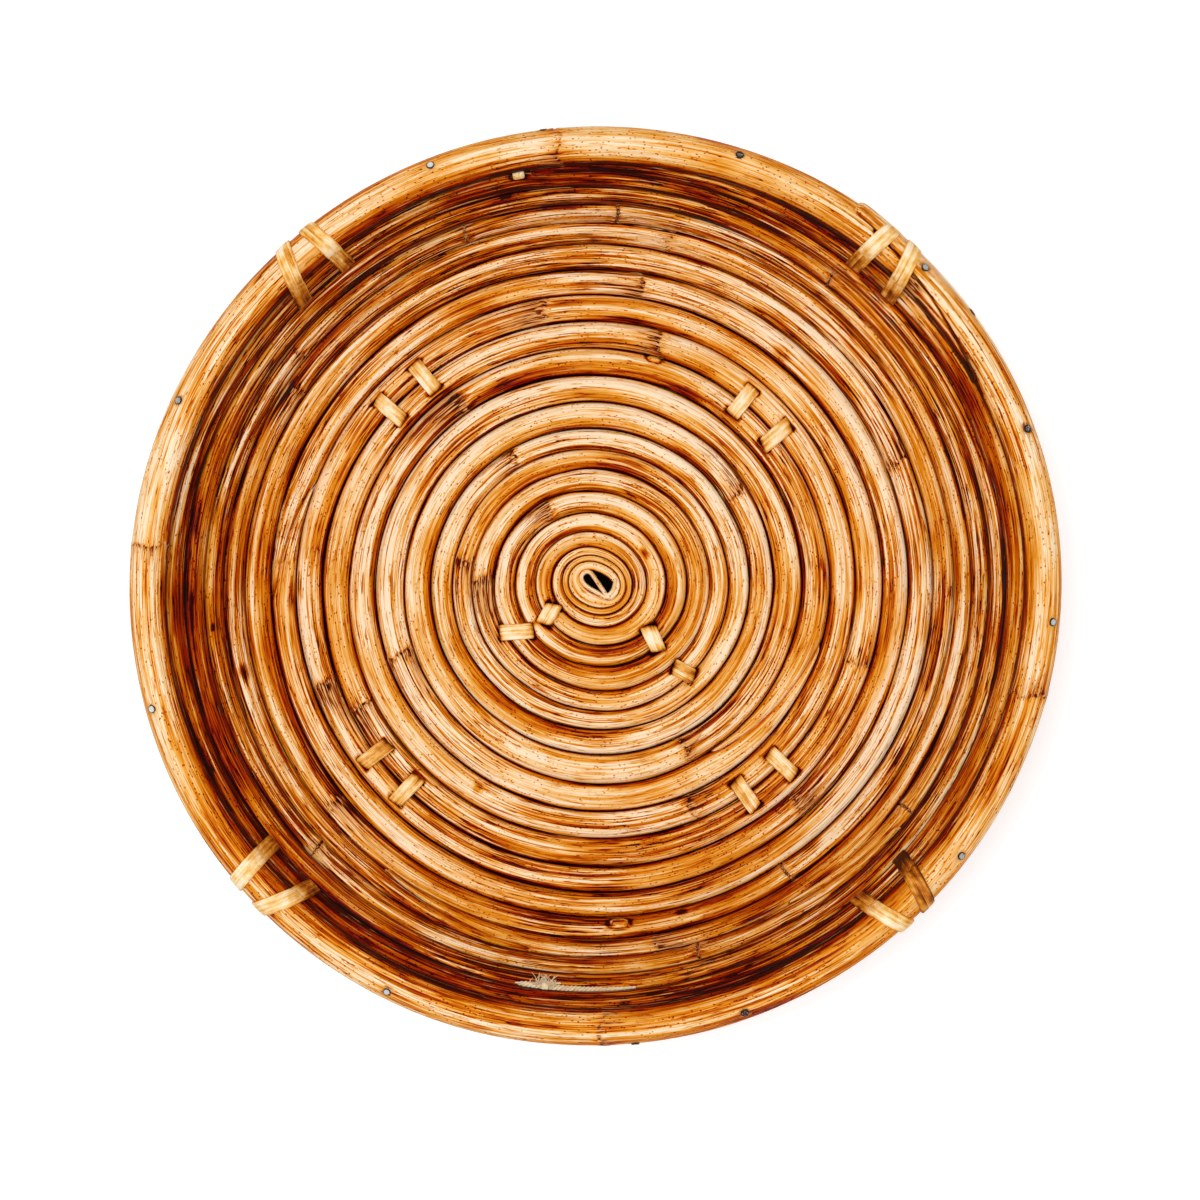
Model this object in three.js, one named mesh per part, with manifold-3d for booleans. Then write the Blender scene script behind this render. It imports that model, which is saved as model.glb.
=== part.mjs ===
// A coiled cane bowl: canes wound into a spiral floor and wall, a thicker rim cane,
// flat peel straps, small nails, a peg and a scrap of string.
// Millimetres, +Z up. The axis of the bowl is Z and it stands on Z = 0.

import * as THREE from 'three';
import { mergeVertices } from 'three/addons/utils/BufferGeometryUtils.js';
import Module from 'manifold-3d';

// The coil: what each round adds to it, from the folded core out to the foot of the wall
const CORE_RADIUS = 5.9;
const ROUND_WIDTHS = [1.8, 1.9, 2.4, 4.9, 6.7, 7.3, 8.2, 6.6, 6.8, 8.8, 9.6, 9.5, 9.6, 9.2, 9.2];
const WALL_ROUND_WIDTH = 9.5;
const COIL_GAP = 0.7;
const COIL_END = 21.36;
const STRIP_HEIGHT = 6.6;
const FLAT_DEPTH = 0.5;

// The bowl's section: a flat floor, a round bend and a straight sloping wall
const FLOOR_RADIUS = 99.4;
const BEND_RADIUS = 34;
const WALL_ANGLE = 62;

// The core is oval and sits a little off the axis
const OVAL_SIZE = 1.1;
const OVAL_ANGLE = -20;
const CORE_OFFSET = 1.4;

// The upper rounds climb mostly within one part of each turn
const CLIMB_SHARE = 0.36;
const CLIMB_FULL_TURN = 20;

// Splices between lengths of cane: where each one starts and ends, in turns
const SPLICES = [
  [11.836, 11.97],
  [15.44, 15.51],
  [17.64, 17.73],
  [18.83, 18.9],
];
const SPLICE_GAP = 0.6;
const TIP_THICKNESS = 0.9;

// The rim cane and its overlapping ends
const RIM_DIAMETER = 11.4;
const RIM_GAP = 0.3;
const RIM_SCARF_START = 43;
const RIM_SCARF_END = 55.8;

// Peel straps
const STRAP_THICKNESS = 1;
const STRAP_WIDTH = 4.8;
const STRAP_CLEARANCE = 0.3;
const STRAP_CORNER = 0.7;
const ARC_STEPS = 6;
const BASE_STRAP_SPAN = 12.2;
const BASE_STRAP_SPACING = 16.4;
const BASE_STRAP_TURNS = [12.127, 13.373, 13.617, 12.864];
const RIM_STRAP_SPACING = 9.5;
const RIM_STRAP_TILT = 12.6;
const RIM_STRAP_ANGLES = [48.3, 131.2, 222, 313.9];
const CENTRE_STRAPS = [
  { from: [-32.9, -12.9], to: [-21.8, -18.1] },
  { from: [-19.5, -10.8], to: [-13.2, -5.8] },
  { from: [18, -13.6], to: [21.8, -22.3] },
  { from: [27, -27.4], to: [34.2, -31.3] },
];

// Nails through the rim: where round the rim each one is, and how far it leans outward.
// An upright nail bites into the coil below the rim cane, and a side nail stops short of the far side.
const NAIL_ANGLES = [20, 44, 71.5, 111.4, 156, 195.5, 242.8, 289.3, 323.6, 355.5];
const SIDE_NAIL_ANGLES = [36, 96.5, 275];
const SIDE_NAIL_LEAN = 45;
const NAIL_HEAD_DIAMETER = 2.3;
const NAIL_HEAD_HEIGHT = 0.7;
const NAIL_SHANK_DIAMETER = 1.2;
const NAIL_BITE = 5.6;
const SIDE_NAIL_COVER = 2.4;
const NAIL_SIDES = 6;
const NAIL_POINT = 1.6;
const NAIL_CLEARANCE = 0.3;

// The peg at the end of the top round
const PEG_ANGLE = 100.6;
const PEG_WIDTH = 3.9;
const PEG_THICKNESS = 2.9;
const PEG_LENGTH = 15;
const PEG_CLEARANCE = 0.3;

// The scrap of string in a groove of the wall
const STRING_DIAMETER = 2;
const STRING_START = 19.718;
const STRING_END = 19.764;
const STRING_KNOT_TURN = 19.73;
const KNOT_DIAMETER = 4.4;
const STRING_CLEARANCE = 0.3;
const STRING_STEPS = 12;
const STRING_SIDES = 4;

// A cane's six-sided section is flat above and below, over this share of its width
const FLAT_SHARE = 0.52;
const STEPS = 28;
const TIP_SEARCH_STEP = 0.1 / STEPS;
const LEAST_STATION_STEP = 1e-3 / STEPS;

// Points of one winding nearer along it than this many of its reaches are not compared
const NEIGHBOUR_REACHES = 1.5;
const WELD_DISTANCE = 1e-4;

// The folded start of the inner cane, seen from above, about the middle of the core
const FOLD_POINTS = [
  [5.5, 1.3],
  [5.3, -0.7],
  [4.8, -2.3],
  [3.4, -3.0],
  [1.9, -1.7],
  [0, 0.6],
  [-1.7, 2.7],
  [-3.6, 3.8],
  [-5.6, 2.9],
  [-5.9, 0.8],
  [-4.6, -1.3],
  [-2.2, -3.5],
  [1.2, -5.1],
];
const FOLD_STEPS = 26;
const FOLD_JOIN_TURN = 0.875;

const CANE_MATERIAL = { color: 0xd9a05a, roughness: 0.42, metalness: 0 };
const STRAP_MATERIAL = { color: 0xe6bd7c, roughness: 0.55, metalness: 0 };
const NAIL_MATERIAL = { color: 0x5b4636, roughness: 0.5, metalness: 0.8 };
const STRING_MATERIAL = { color: 0xe3d3b4, roughness: 0.9, metalness: 0 };

const { degToRad, lerp, clamp, smoothstep } = THREE.MathUtils;
const wasm = await Module();
wasm.setup();

const slope = degToRad(WALL_ANGLE);
const bendEnd = FLOOR_RADIUS + BEND_RADIUS * slope;
const bowl = new THREE.Group();

// Distance along the bowl's section to the outer edge of the coil, evenly wound
function evenBoundary(turn) {
  if (turn < 0) return CORE_RADIUS + ROUND_WIDTHS[0] * turn;
  let edge = CORE_RADIUS;
  for (let round = 0; round < ROUND_WIDTHS.length; round += 1) {
    edge += ROUND_WIDTHS[round] * clamp(turn - round, 0, 1);
  }
  return edge + WALL_ROUND_WIDTH * Math.max(0, turn - ROUND_WIDTHS.length);
}

// The same edge, with the climb of the upper rounds gathered and the top one levelled off
function boundary(turn) {
  const levelled = Math.min(turn, COIL_END - 1);
  const part = levelled - Math.floor(levelled);
  const gathered = smoothstep(levelled, ROUND_WIDTHS.length, CLIMB_FULL_TURN);
  const climb = smoothstep(part, 0, CLIMB_SHARE) - part - (0.5 - CLIMB_SHARE / 2);
  return evenBoundary(levelled) + gathered * climb * WALL_ROUND_WIDTH;
}

function caneDiameter(turn) {
  return evenBoundary(turn) - evenBoundary(turn - 1) - COIL_GAP;
}

// Half the height of the coil, which is flattened where it stands
function halfHeight(turn) {
  return Math.max(caneDiameter(turn), STRIP_HEIGHT) / 2 - FLAT_DEPTH;
}

// A point of the bowl's section, with the direction that faces into the bowl
function sectionPoint(along) {
  const angle = clamp((along - FLOOR_RADIUS) / BEND_RADIUS, 0, slope);
  const beyond = Math.max(0, along - bendEnd);
  const flat = Math.min(along, FLOOR_RADIUS);
  return {
    r: flat + BEND_RADIUS * Math.sin(angle) + beyond * Math.cos(slope),
    z: BEND_RADIUS * (1 - Math.cos(angle)) + beyond * Math.sin(slope),
    inR: -Math.sin(angle),
    inZ: Math.cos(angle),
  };
}

function wallPoint(turn, along, inward) {
  const angle = turn * 2 * Math.PI;
  const point = sectionPoint(along);
  const fade = Math.max(0, 1 - along / FLOOR_RADIUS);
  const oval = OVAL_SIZE * fade * Math.cos(2 * (angle - degToRad(OVAL_ANGLE)));
  const radius = point.r + inward * point.inR + oval;
  return new THREE.Vector3(
    radius * Math.cos(angle),
    radius * Math.sin(angle) + CORE_OFFSET * fade,
    point.z + inward * point.inZ + halfHeight(turn),
  );
}

// A point in a round's section: across runs from -1 to 1, up is measured from the middle
function roundPoint(turn, across, up) {
  const inner = boundary(turn - 1) + COIL_GAP / 2;
  const outer = boundary(turn) - COIL_GAP / 2;
  return wallPoint(turn, lerp(inner, outer, (across + 1) / 2), up);
}

// Where the levelled top round has thinned to a tip
function topTip() {
  let turn = COIL_END;
  while (boundary(turn) - boundary(turn - 1) < COIL_GAP + TIP_THICKNESS) turn -= TIP_SEARCH_STEP;
  return turn;
}

const rimHalf = RIM_DIAMETER / 2 - FLAT_DEPTH;
const rimAlong = boundary(COIL_END) + RIM_GAP + rimHalf;

function rimPoint(turn, across, up) {
  const point = wallPoint(turn, rimAlong + up, (-across * RIM_DIAMETER) / 2);
  point.z += halfHeight(COIL_END) - halfHeight(turn);
  return point;
}

// Between the stations of the winding every surface runs straight, so neighbours nest
function straightened(pointAt, turn, across, up) {
  const before = Math.floor((turn + LEAST_STATION_STEP) * STEPS) / STEPS;
  const share = Math.max(0, (turn - before) * STEPS);
  return pointAt(before, across, up).lerp(pointAt(before + 1 / STEPS, across, up), share);
}

// The six corners of a section that reaches from low to high
function sectionCorners(low, high, half) {
  const ease = ((high - low) * (1 - FLAT_SHARE)) / 2;
  return [
    [high, 0],
    [high - ease, half],
    [low + ease, half],
    [low, 0],
    [low + ease, -half],
    [high - ease, -half],
  ];
}

// One closed tube through a list of rings
function tubeGeometry(rings) {
  const sides = rings[0].length;
  const positions = rings.flat().flatMap((point) => [point.x, point.y, point.z]);
  const faces = [];
  for (let ring = 0; ring < rings.length - 1; ring += 1) {
    for (let side = 0; side < sides; side += 1) {
      const a = ring * sides + side;
      const b = ring * sides + ((side + 1) % sides);
      faces.push(a, b + sides, b, a, a + sides, b + sides);
    }
  }
  const last = (rings.length - 1) * sides;
  for (let side = 1; side < sides - 1; side += 1) {
    faces.push(0, side, side + 1, last, last + side + 1, last + side);
  }
  const geometry = new THREE.BufferGeometry();
  geometry.setAttribute('position', new THREE.Float32BufferAttribute(positions, 3));
  geometry.setIndex(faces);
  return geometry;
}

function stations(start, end) {
  const turns = [start];
  const firstStep = Math.floor((start + LEAST_STATION_STEP) * STEPS) + 1;
  for (let step = firstStep; step / STEPS < end - LEAST_STATION_STEP; step += 1) {
    turns.push(step / STEPS);
  }
  turns.push(end);
  return turns;
}

// A slanting splice: the earlier length thins towards the outside, the later one starts inside
function splice(start, end, diameter) {
  const gap = SPLICE_GAP / diameter;
  const tip = (2 * TIP_THICKNESS) / diameter;
  const edge = (turn) => -1 + (2 * (turn - start)) / (end - start);
  return {
    low: (turn) => clamp(edge(turn) + gap, -1, 1 - tip),
    high: (turn) => clamp(edge(turn) - gap, -1 + tip, 1),
    earlierEnds: lerp(start, end, (2 - tip - gap) / 2),
    laterStarts: lerp(start, end, (tip + gap) / 2),
  };
}

const splices = SPLICES.map(([start, end]) => splice(start, end, caneDiameter(end)));

// Rings of one length of cane between the splice that starts it and the one that ends it
function caneRings(first, last, start, end) {
  return stations(start, end).map((turn) => {
    const low = last ? last.low(turn) : -1;
    const high = first ? first.high(turn) : 1;
    const corners = sectionCorners(low, high, halfHeight(turn));
    return corners.map(([across, up]) => straightened(roundPoint, turn, across, up));
  });
}

// The shaved start of the inner cane, standing on edge along its fold
function foldRings() {
  const join = [FOLD_JOIN_TURN, FOLD_JOIN_TURN + 1 / STEPS].map((turn) => roundPoint(turn, 0, 0));
  const points = FOLD_POINTS.map(([x, y]) => new THREE.Vector3(x, y + CORE_OFFSET, join[0].z));
  const path = new THREE.CatmullRomCurve3([...points, ...join]);
  const joinShare = 1 - join[0].distanceTo(join[1]) / path.getLength();
  const thickness = caneDiameter(FOLD_JOIN_TURN);
  const rings = [];
  for (let step = 0; step < FOLD_STEPS; step += 1) {
    const share = (joinShare * step) / FOLD_STEPS;
    const centre = path.getPointAt(share);
    const side = path.getTangentAt(share).cross(new THREE.Vector3(0, 0, 1));
    const corners = sectionCorners(-1, 1, halfHeight(FOLD_JOIN_TURN));
    rings.push(corners.map(([across, up]) => {
      const point = centre.clone().addScaledVector(side, (across * thickness) / 2);
      return point.setZ(centre.z + up);
    }));
  }
  return rings;
}

// Least distance between points of a winding that are a good part of a turn apart
function leastGap(rings) {
  const centres = rings.map((ring) => ring.reduce((sum, point) => sum.add(point), new THREE.Vector3())
    .divideScalar(ring.length));
  const reach = rings.map((ring, index) => Math.max(...ring.map((point) => point.distanceTo(centres[index]))));
  const travelled = [0];
  for (let ring = 1; ring < rings.length; ring += 1) {
    travelled.push(travelled[ring - 1] + centres[ring].distanceTo(centres[ring - 1]));
  }
  let least = Infinity;
  for (let one = 0; one < rings.length; one += 1) {
    for (let other = one + 1; other < rings.length; other += 1) {
      const apart = travelled[other] - travelled[one];
      if (apart < NEIGHBOUR_REACHES * (reach[one] + reach[other])) continue;
      if (centres[one].distanceTo(centres[other]) - reach[one] - reach[other] > least) continue;
      for (const a of rings[one]) {
        for (const b of rings[other]) least = Math.min(least, a.distanceTo(b));
      }
    }
  }
  return least;
}

function solidOf(geometry) {
  const bare = geometry.clone();
  bare.deleteAttribute('normal');
  bare.deleteAttribute('uv');
  const merged = mergeVertices(bare, WELD_DISTANCE);
  return new wasm.Manifold(new wasm.Mesh({
    numProp: 3,
    vertProperties: merged.getAttribute('position').array,
    triVerts: Uint32Array.from(merged.getIndex().array),
  }));
}

function geometryOf(solid) {
  const mesh = solid.getMesh();
  const geometry = new THREE.BufferGeometry();
  geometry.setAttribute('position', new THREE.Float32BufferAttribute(mesh.vertProperties, 3));
  geometry.setIndex(Array.from(mesh.triVerts));
  geometry.computeVertexNormals();
  return geometry;
}

function addMesh(name, geometry, look, matrix = new THREE.Matrix4()) {
  const mesh = new THREE.Mesh(geometry, new THREE.MeshStandardMaterial(look));
  mesh.name = name;
  mesh.applyMatrix4(matrix);
  bowl.add(mesh);
}

const cutters = [];

function addCutter(geometry, matrix) {
  cutters.push(solidOf(geometry.clone().applyMatrix4(matrix)));
}

// A strap bent into a closed loop, from its outer and inner outlines in the loop's plane
function loopGeometry(outer, inner, width) {
  const shape = outer.clone();
  shape.holes.push(inner);
  const geometry = new THREE.ExtrudeGeometry(shape, { depth: width, bevelEnabled: false });
  return geometry.translate(0, 0, -width / 2);
}

// A box with its corners cut off
function easedBox(left, right, bottom, top, corner) {
  return new THREE.Shape([
    new THREE.Vector2(left + corner, bottom),
    new THREE.Vector2(right - corner, bottom),
    new THREE.Vector2(right, bottom + corner),
    new THREE.Vector2(right, top - corner),
    new THREE.Vector2(right - corner, top),
    new THREE.Vector2(left + corner, top),
    new THREE.Vector2(left, top - corner),
    new THREE.Vector2(left, bottom + corner),
  ]);
}

// Outline drawn tight round two circles on one line, the first at zero and the second below it
function tightOutline(upperRadius, lowerRadius, distance) {
  const lean = Math.asin((upperRadius - lowerRadius) / distance);
  const points = [];
  for (let step = 0; step <= ARC_STEPS; step += 1) {
    const angle = lerp(-lean - Math.PI / 2, lean + Math.PI / 2, step / ARC_STEPS);
    points.push(new THREE.Vector2(upperRadius * Math.cos(angle), upperRadius * Math.sin(angle)));
  }
  for (let step = 0; step <= ARC_STEPS; step += 1) {
    const angle = lerp(lean + Math.PI / 2, 1.5 * Math.PI - lean, step / ARC_STEPS);
    points.push(new THREE.Vector2(lowerRadius * Math.cos(angle) - distance, lowerRadius * Math.sin(angle)));
  }
  return new THREE.Shape(points);
}

// A strap through slits in the floor, its lower run drawn up into a groove
function addFloorStrap(name, middle, direction, span, crest) {
  const reach = span / 2;
  const bottom = STRAP_CLEARANCE;
  const top = crest + STRAP_CLEARANCE + STRAP_THICKNESS;
  const strap = loopGeometry(
    easedBox(-reach, reach, bottom, top, STRAP_CORNER),
    easedBox(
      -reach + STRAP_THICKNESS,
      reach - STRAP_THICKNESS,
      bottom + STRAP_THICKNESS,
      top - STRAP_THICKNESS,
      STRAP_CORNER / 2,
    ),
    STRAP_WIDTH,
  );
  const room = STRAP_THICKNESS + STRAP_CLEARANCE;
  const slit = loopGeometry(
    easedBox(-reach - STRAP_CLEARANCE, reach + STRAP_CLEARANCE, -room, top + room, STRAP_CLEARANCE),
    easedBox(-reach + room, reach - room, bottom + room, top - room, STRAP_CLEARANCE),
    STRAP_WIDTH + 2 * STRAP_CLEARANCE,
  );
  const up = new THREE.Vector3(0, 0, 1);
  const matrix = new THREE.Matrix4().makeBasis(direction, up, direction.clone().cross(up));
  matrix.setPosition(middle.x, middle.y, 0);
  addMesh(name, strap, STRAP_MATERIAL, matrix);
  addCutter(slit, matrix);
}

function crestHeight(turn) {
  return 2 * halfHeight(turn);
}

function addBaseStraps() {
  BASE_STRAP_TURNS.forEach((pairTurn, pair) => {
    const radius = boundary(pairTurn);
    [-1, 1].forEach((side, index) => {
      const turn = pairTurn + (side * BASE_STRAP_SPACING) / 2 / (2 * Math.PI * radius);
      const middle = wallPoint(turn, boundary(turn), 0);
      const outward = new THREE.Vector3(Math.cos(turn * 2 * Math.PI), Math.sin(turn * 2 * Math.PI), 0);
      const outerEdge = sectionPoint(boundary(turn) + BASE_STRAP_SPAN / 2);
      const crest = Math.max(crestHeight(turn), crestHeight(turn + 1)) + outerEdge.z;
      addFloorStrap(`base_tie_${2 * pair + index + 1}`, middle, outward, BASE_STRAP_SPAN, crest);
    });
  });
}

// The round that passes under a point of the floor
function turnAt(point) {
  const part = (Math.atan2(point.y, point.x) / (2 * Math.PI) + 1) % 1;
  const radius = point.length();
  let turn = part;
  while (wallPoint(turn, boundary(turn), 0).setZ(0).length() < radius) turn += 1;
  return turn;
}

function addCentreStraps() {
  CENTRE_STRAPS.forEach(({ from, to }, index) => {
    const start = new THREE.Vector3(...from, 0);
    const end = new THREE.Vector3(...to, 0);
    const direction = end.clone().sub(start);
    const span = direction.length();
    const crest = Math.max(crestHeight(turnAt(start)), crestHeight(turnAt(end)));
    const middle = start.clone().lerp(end, 0.5);
    addFloorStrap(`centre_tie_${index + 1}`, middle, direction.normalize(), span, crest);
  });
}

// Directions at the rim: up the wall, out through it, and round the bowl
function rimFrame(turn) {
  const angle = turn * 2 * Math.PI;
  const outward = new THREE.Vector3(Math.cos(angle), Math.sin(angle), 0);
  const vertical = new THREE.Vector3(0, 0, 1);
  const upWall = outward.clone().multiplyScalar(Math.cos(slope)).addScaledVector(vertical, Math.sin(slope));
  const outWall = outward.clone().multiplyScalar(Math.sin(slope)).addScaledVector(vertical, -Math.cos(slope));
  return { upWall, outWall, round: new THREE.Vector3(-Math.sin(angle), Math.cos(angle), 0) };
}

// A strap over the rim and the top round, passing through the wall below that round
function addRimStrap(name, turn, tilt) {
  const rimCorner = Math.hypot((FLAT_SHARE * RIM_DIAMETER) / 2, rimHalf);
  const upper = rimCorner / Math.cos(Math.PI / 2 / ARC_STEPS) + 2 * STRAP_CLEARANCE;
  const lower = caneDiameter(COIL_END) / 2 + STRAP_CLEARANCE;
  const top = Math.floor(topTip() - turn) + turn;
  const pass = boundary(top - 1) + STRAP_THICKNESS / 2;
  const distance = rimAlong - pass - lower;
  const grown = STRAP_THICKNESS + STRAP_CLEARANCE;
  const strap = loopGeometry(
    tightOutline(upper + STRAP_THICKNESS, lower + STRAP_THICKNESS, distance),
    tightOutline(upper, lower, distance),
    STRAP_WIDTH,
  );
  const room = loopGeometry(
    tightOutline(upper + grown, lower + grown, distance),
    tightOutline(upper - STRAP_CLEARANCE, lower - STRAP_CLEARANCE, distance),
    STRAP_WIDTH + 2 * STRAP_CLEARANCE,
  );
  const { upWall, outWall, round } = rimFrame(turn);
  const matrix = new THREE.Matrix4().makeBasis(upWall, outWall, round);
  matrix.multiply(new THREE.Matrix4().makeRotationY(tilt));
  matrix.setPosition(rimPoint(turn, 0, 0));
  addMesh(name, strap, STRAP_MATERIAL, matrix);
  addCutter(room, matrix);
}

function addRimStraps() {
  const rimRadius = rimPoint(0, 1, 0).x;
  const offset = RIM_STRAP_SPACING / 2 / (2 * Math.PI * rimRadius);
  RIM_STRAP_ANGLES.forEach((angle, pair) => {
    [-1, 1].forEach((side, index) => {
      const turn = angle / 360 + side * offset;
      addRimStrap(`rim_tie_${2 * pair + index + 1}`, turn, side * degToRad(RIM_STRAP_TILT));
    });
  });
}

function nailGeometry(length, growth) {
  const head = NAIL_HEAD_DIAMETER / 2 + growth;
  const shank = NAIL_SHANK_DIAMETER / 2 + growth;
  const profile = [
    [0, -length - growth],
    [shank, -length + NAIL_POINT],
    [shank, -growth],
    [head, -growth],
    [head, NAIL_HEAD_HEIGHT / 2],
    [0, NAIL_HEAD_HEIGHT + growth],
  ];
  return new THREE.LatheGeometry(profile.map(([r, y]) => new THREE.Vector2(r, y)), NAIL_SIDES);
}

// A nail driven through the rim cane, its head on the far side
function addNail(name, angle, lean, length) {
  const turn = angle / 360;
  const { upWall, outWall, round } = rimFrame(turn);
  const axis = upWall.clone().multiplyScalar(Math.cos(lean)).addScaledVector(outWall, Math.sin(lean));
  const across = new THREE.Vector3().crossVectors(axis, round);
  const matrix = new THREE.Matrix4().makeBasis(across, axis, round);
  const centre = straightened(rimPoint, turn, 0, 0);
  matrix.setPosition(centre.addScaledVector(axis, rimHalf));
  addMesh(name, nailGeometry(length, 0), NAIL_MATERIAL, matrix);
  addCutter(nailGeometry(length, NAIL_CLEARANCE), matrix);
}

function addNails() {
  const uprightLength = RIM_DIAMETER + NAIL_BITE;
  const leaningLength = RIM_DIAMETER - SIDE_NAIL_COVER;
  const upright = NAIL_ANGLES.map((angle) => [angle, 0, uprightLength]);
  const leaning = SIDE_NAIL_ANGLES.map((angle) => [angle, degToRad(SIDE_NAIL_LEAN), leaningLength]);
  [...upright, ...leaning].forEach((place, index) => addNail(`rim_nail_${index + 1}`, ...place));
}

// The peg fills the place between the end of the top round and the rim
function addPeg() {
  const turn = PEG_ANGLE / 360;
  const { upWall, outWall, round } = rimFrame(turn);
  const matrix = new THREE.Matrix4().makeBasis(upWall, outWall, round);
  matrix.setPosition(wallPoint(Math.floor(COIL_END) + turn, boundary(COIL_END), 0));
  const grown = 2 * PEG_CLEARANCE;
  addMesh('end_peg', new THREE.BoxGeometry(PEG_THICKNESS, PEG_LENGTH, PEG_WIDTH), STRAP_MATERIAL, matrix);
  addCutter(new THREE.BoxGeometry(PEG_THICKNESS + grown, PEG_LENGTH + grown, PEG_WIDTH + grown), matrix);
}

// The string lies on the shoulders of two rounds, in the groove between them
function addString() {
  const grooveHalf = (caneDiameter(STRING_END) * (1 - FLAT_SHARE)) / 2;
  const grooveAngle = Math.atan2(grooveHalf, halfHeight(STRING_END));
  const seat = (STRING_DIAMETER / 2 + STRING_CLEARANCE) / Math.sin(grooveAngle);
  const groovePoint = (turn, across, up) => wallPoint(turn, boundary(turn) + across, up);
  const points = [];
  for (let step = 0; step <= STRING_STEPS; step += 1) {
    const turn = lerp(STRING_START, STRING_END, step / STRING_STEPS);
    points.push(straightened(groovePoint, turn, 0, seat));
  }
  const path = new THREE.CatmullRomCurve3(points);
  const tube = (radius) => new THREE.ExtrudeGeometry(
    new THREE.Shape().absarc(0, 0, radius, 0, 2 * Math.PI),
    { extrudePath: path, steps: STRING_STEPS, curveSegments: STRING_SIDES, bevelEnabled: false },
  );
  addMesh('string', tube(STRING_DIAMETER / 2), STRING_MATERIAL);
  const knot = new THREE.IcosahedronGeometry(KNOT_DIAMETER / 2, 1);
  const knotPlace = straightened(groovePoint, STRING_KNOT_TURN, 0, seat);
  const knotSolid = solidOf(knot.translate(knotPlace.x, knotPlace.y, knotPlace.z))
    .subtract(solidOf(tube(STRING_DIAMETER / 2 + STRING_CLEARANCE)));
  addMesh('string_knot', geometryOf(knotSolid), STRING_MATERIAL);
  cutters.push(solidOf(new THREE.IcosahedronGeometry(KNOT_DIAMETER / 2 + STRING_CLEARANCE, 1)
    .translate(knotPlace.x, knotPlace.y, knotPlace.z)));
}

function addCane(name, rings) {
  console.log(`${name} least gap to itself ${leastGap(rings).toFixed(2)} mm`);
  let solid = solidOf(tubeGeometry(rings));
  for (const cutter of cutters) solid = solid.subtract(cutter);
  addMesh(name, geometryOf(solid), CANE_MATERIAL);
}

function addCanes() {
  const names = ['inner_cane', 'base_cane', 'wall_cane_lower', 'wall_cane_middle', 'wall_cane_upper'];
  names.forEach((name, index) => {
    const first = splices[index - 1];
    const last = splices[index];
    const start = first ? first.laterStarts : FOLD_JOIN_TURN;
    const rings = caneRings(first, last, start, last ? last.earlierEnds : topTip());
    addCane(name, first ? rings : [...foldRings(), ...rings]);
  });
}

function addRim() {
  const start = RIM_SCARF_START / 360;
  const end = RIM_SCARF_END / 360;
  const scarf = splice(start, end, RIM_DIAMETER);
  const rings = stations(scarf.laterStarts, 1 + scarf.earlierEnds).map((turn) => {
    const corners = sectionCorners(scarf.low(turn - 1), scarf.high(turn), rimHalf);
    return corners.map(([across, up]) => straightened(rimPoint, turn, across, up));
  });
  addCane('rim_cane', rings);
}

addBaseStraps();
addCentreStraps();
addRimStraps();
addNails();
addPeg();
addString();
addCanes();
addRim();

export default bowl;
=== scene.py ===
"""Looks of a coiled cane bowl: varnished canes, peel straps, nails, a peg and a scrap of string.

Lengths below are millimetres, as in the part's source, and become metres where a mesh is made.
A turn is one round of the coil, counted from the core: its fraction is the angle from +X.
A section place is the distance along the bowl's section, from the core out and up the wall.
"""
import math

import bpy
import numpy as np
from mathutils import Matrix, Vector


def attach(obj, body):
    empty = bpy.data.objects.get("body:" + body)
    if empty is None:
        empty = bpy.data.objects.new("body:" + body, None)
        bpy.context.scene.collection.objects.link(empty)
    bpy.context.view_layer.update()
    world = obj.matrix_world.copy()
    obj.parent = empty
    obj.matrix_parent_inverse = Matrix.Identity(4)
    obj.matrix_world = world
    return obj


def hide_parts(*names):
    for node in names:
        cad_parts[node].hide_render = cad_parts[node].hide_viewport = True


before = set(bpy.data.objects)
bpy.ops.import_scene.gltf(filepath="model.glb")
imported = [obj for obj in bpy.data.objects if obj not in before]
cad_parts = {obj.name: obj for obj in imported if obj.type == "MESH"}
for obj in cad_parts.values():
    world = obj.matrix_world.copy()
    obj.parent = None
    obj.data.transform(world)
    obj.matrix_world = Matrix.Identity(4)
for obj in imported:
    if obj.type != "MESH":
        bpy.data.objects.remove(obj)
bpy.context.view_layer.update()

MM = 0.001
TAU = 2 * math.pi
UP = np.array([0.0, 0.0, 1.0])

# The camera, straight above the bowl and a little off its axis, in metres
CAMERA_PLACE = (0.0015, -0.0045, 0.760)
CAMERA_LENS = 65.33
SENSOR_WIDTH = 36

# The winding, as in the part's source
CORE_RADIUS = 5.9
ROUND_WIDTHS = [1.8, 1.9, 2.4, 4.9, 6.7, 7.3, 8.2, 6.6, 6.8, 8.8, 9.6, 9.5, 9.6, 9.2, 9.2]
WALL_ROUND_WIDTH = 9.5
COIL_GAP = 0.7
COIL_END = 21.36
STRIP_HEIGHT = 6.6
FLAT_DEPTH = 0.5
FLOOR_RADIUS = 99.4
BEND_RADIUS = 34.0
SLOPE = math.radians(62)
OVAL_SIZE = 1.1
OVAL_ANGLE = math.radians(-20)
CORE_OFFSET = 1.4
CLIMB_SHARE = 0.36
CLIMB_FULL_TURN = 20
LATE_CLIMBS = [(18.5, 19.0, 0.05), (19.4, 20.0, 0.07)]
SPLICES = [(11.836, 11.97), (15.44, 15.51), (17.64, 17.73), (18.83, 18.9)]
TOP_TIP = 21.2755
FOLD_JOIN_TURN = 0.875
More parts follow.
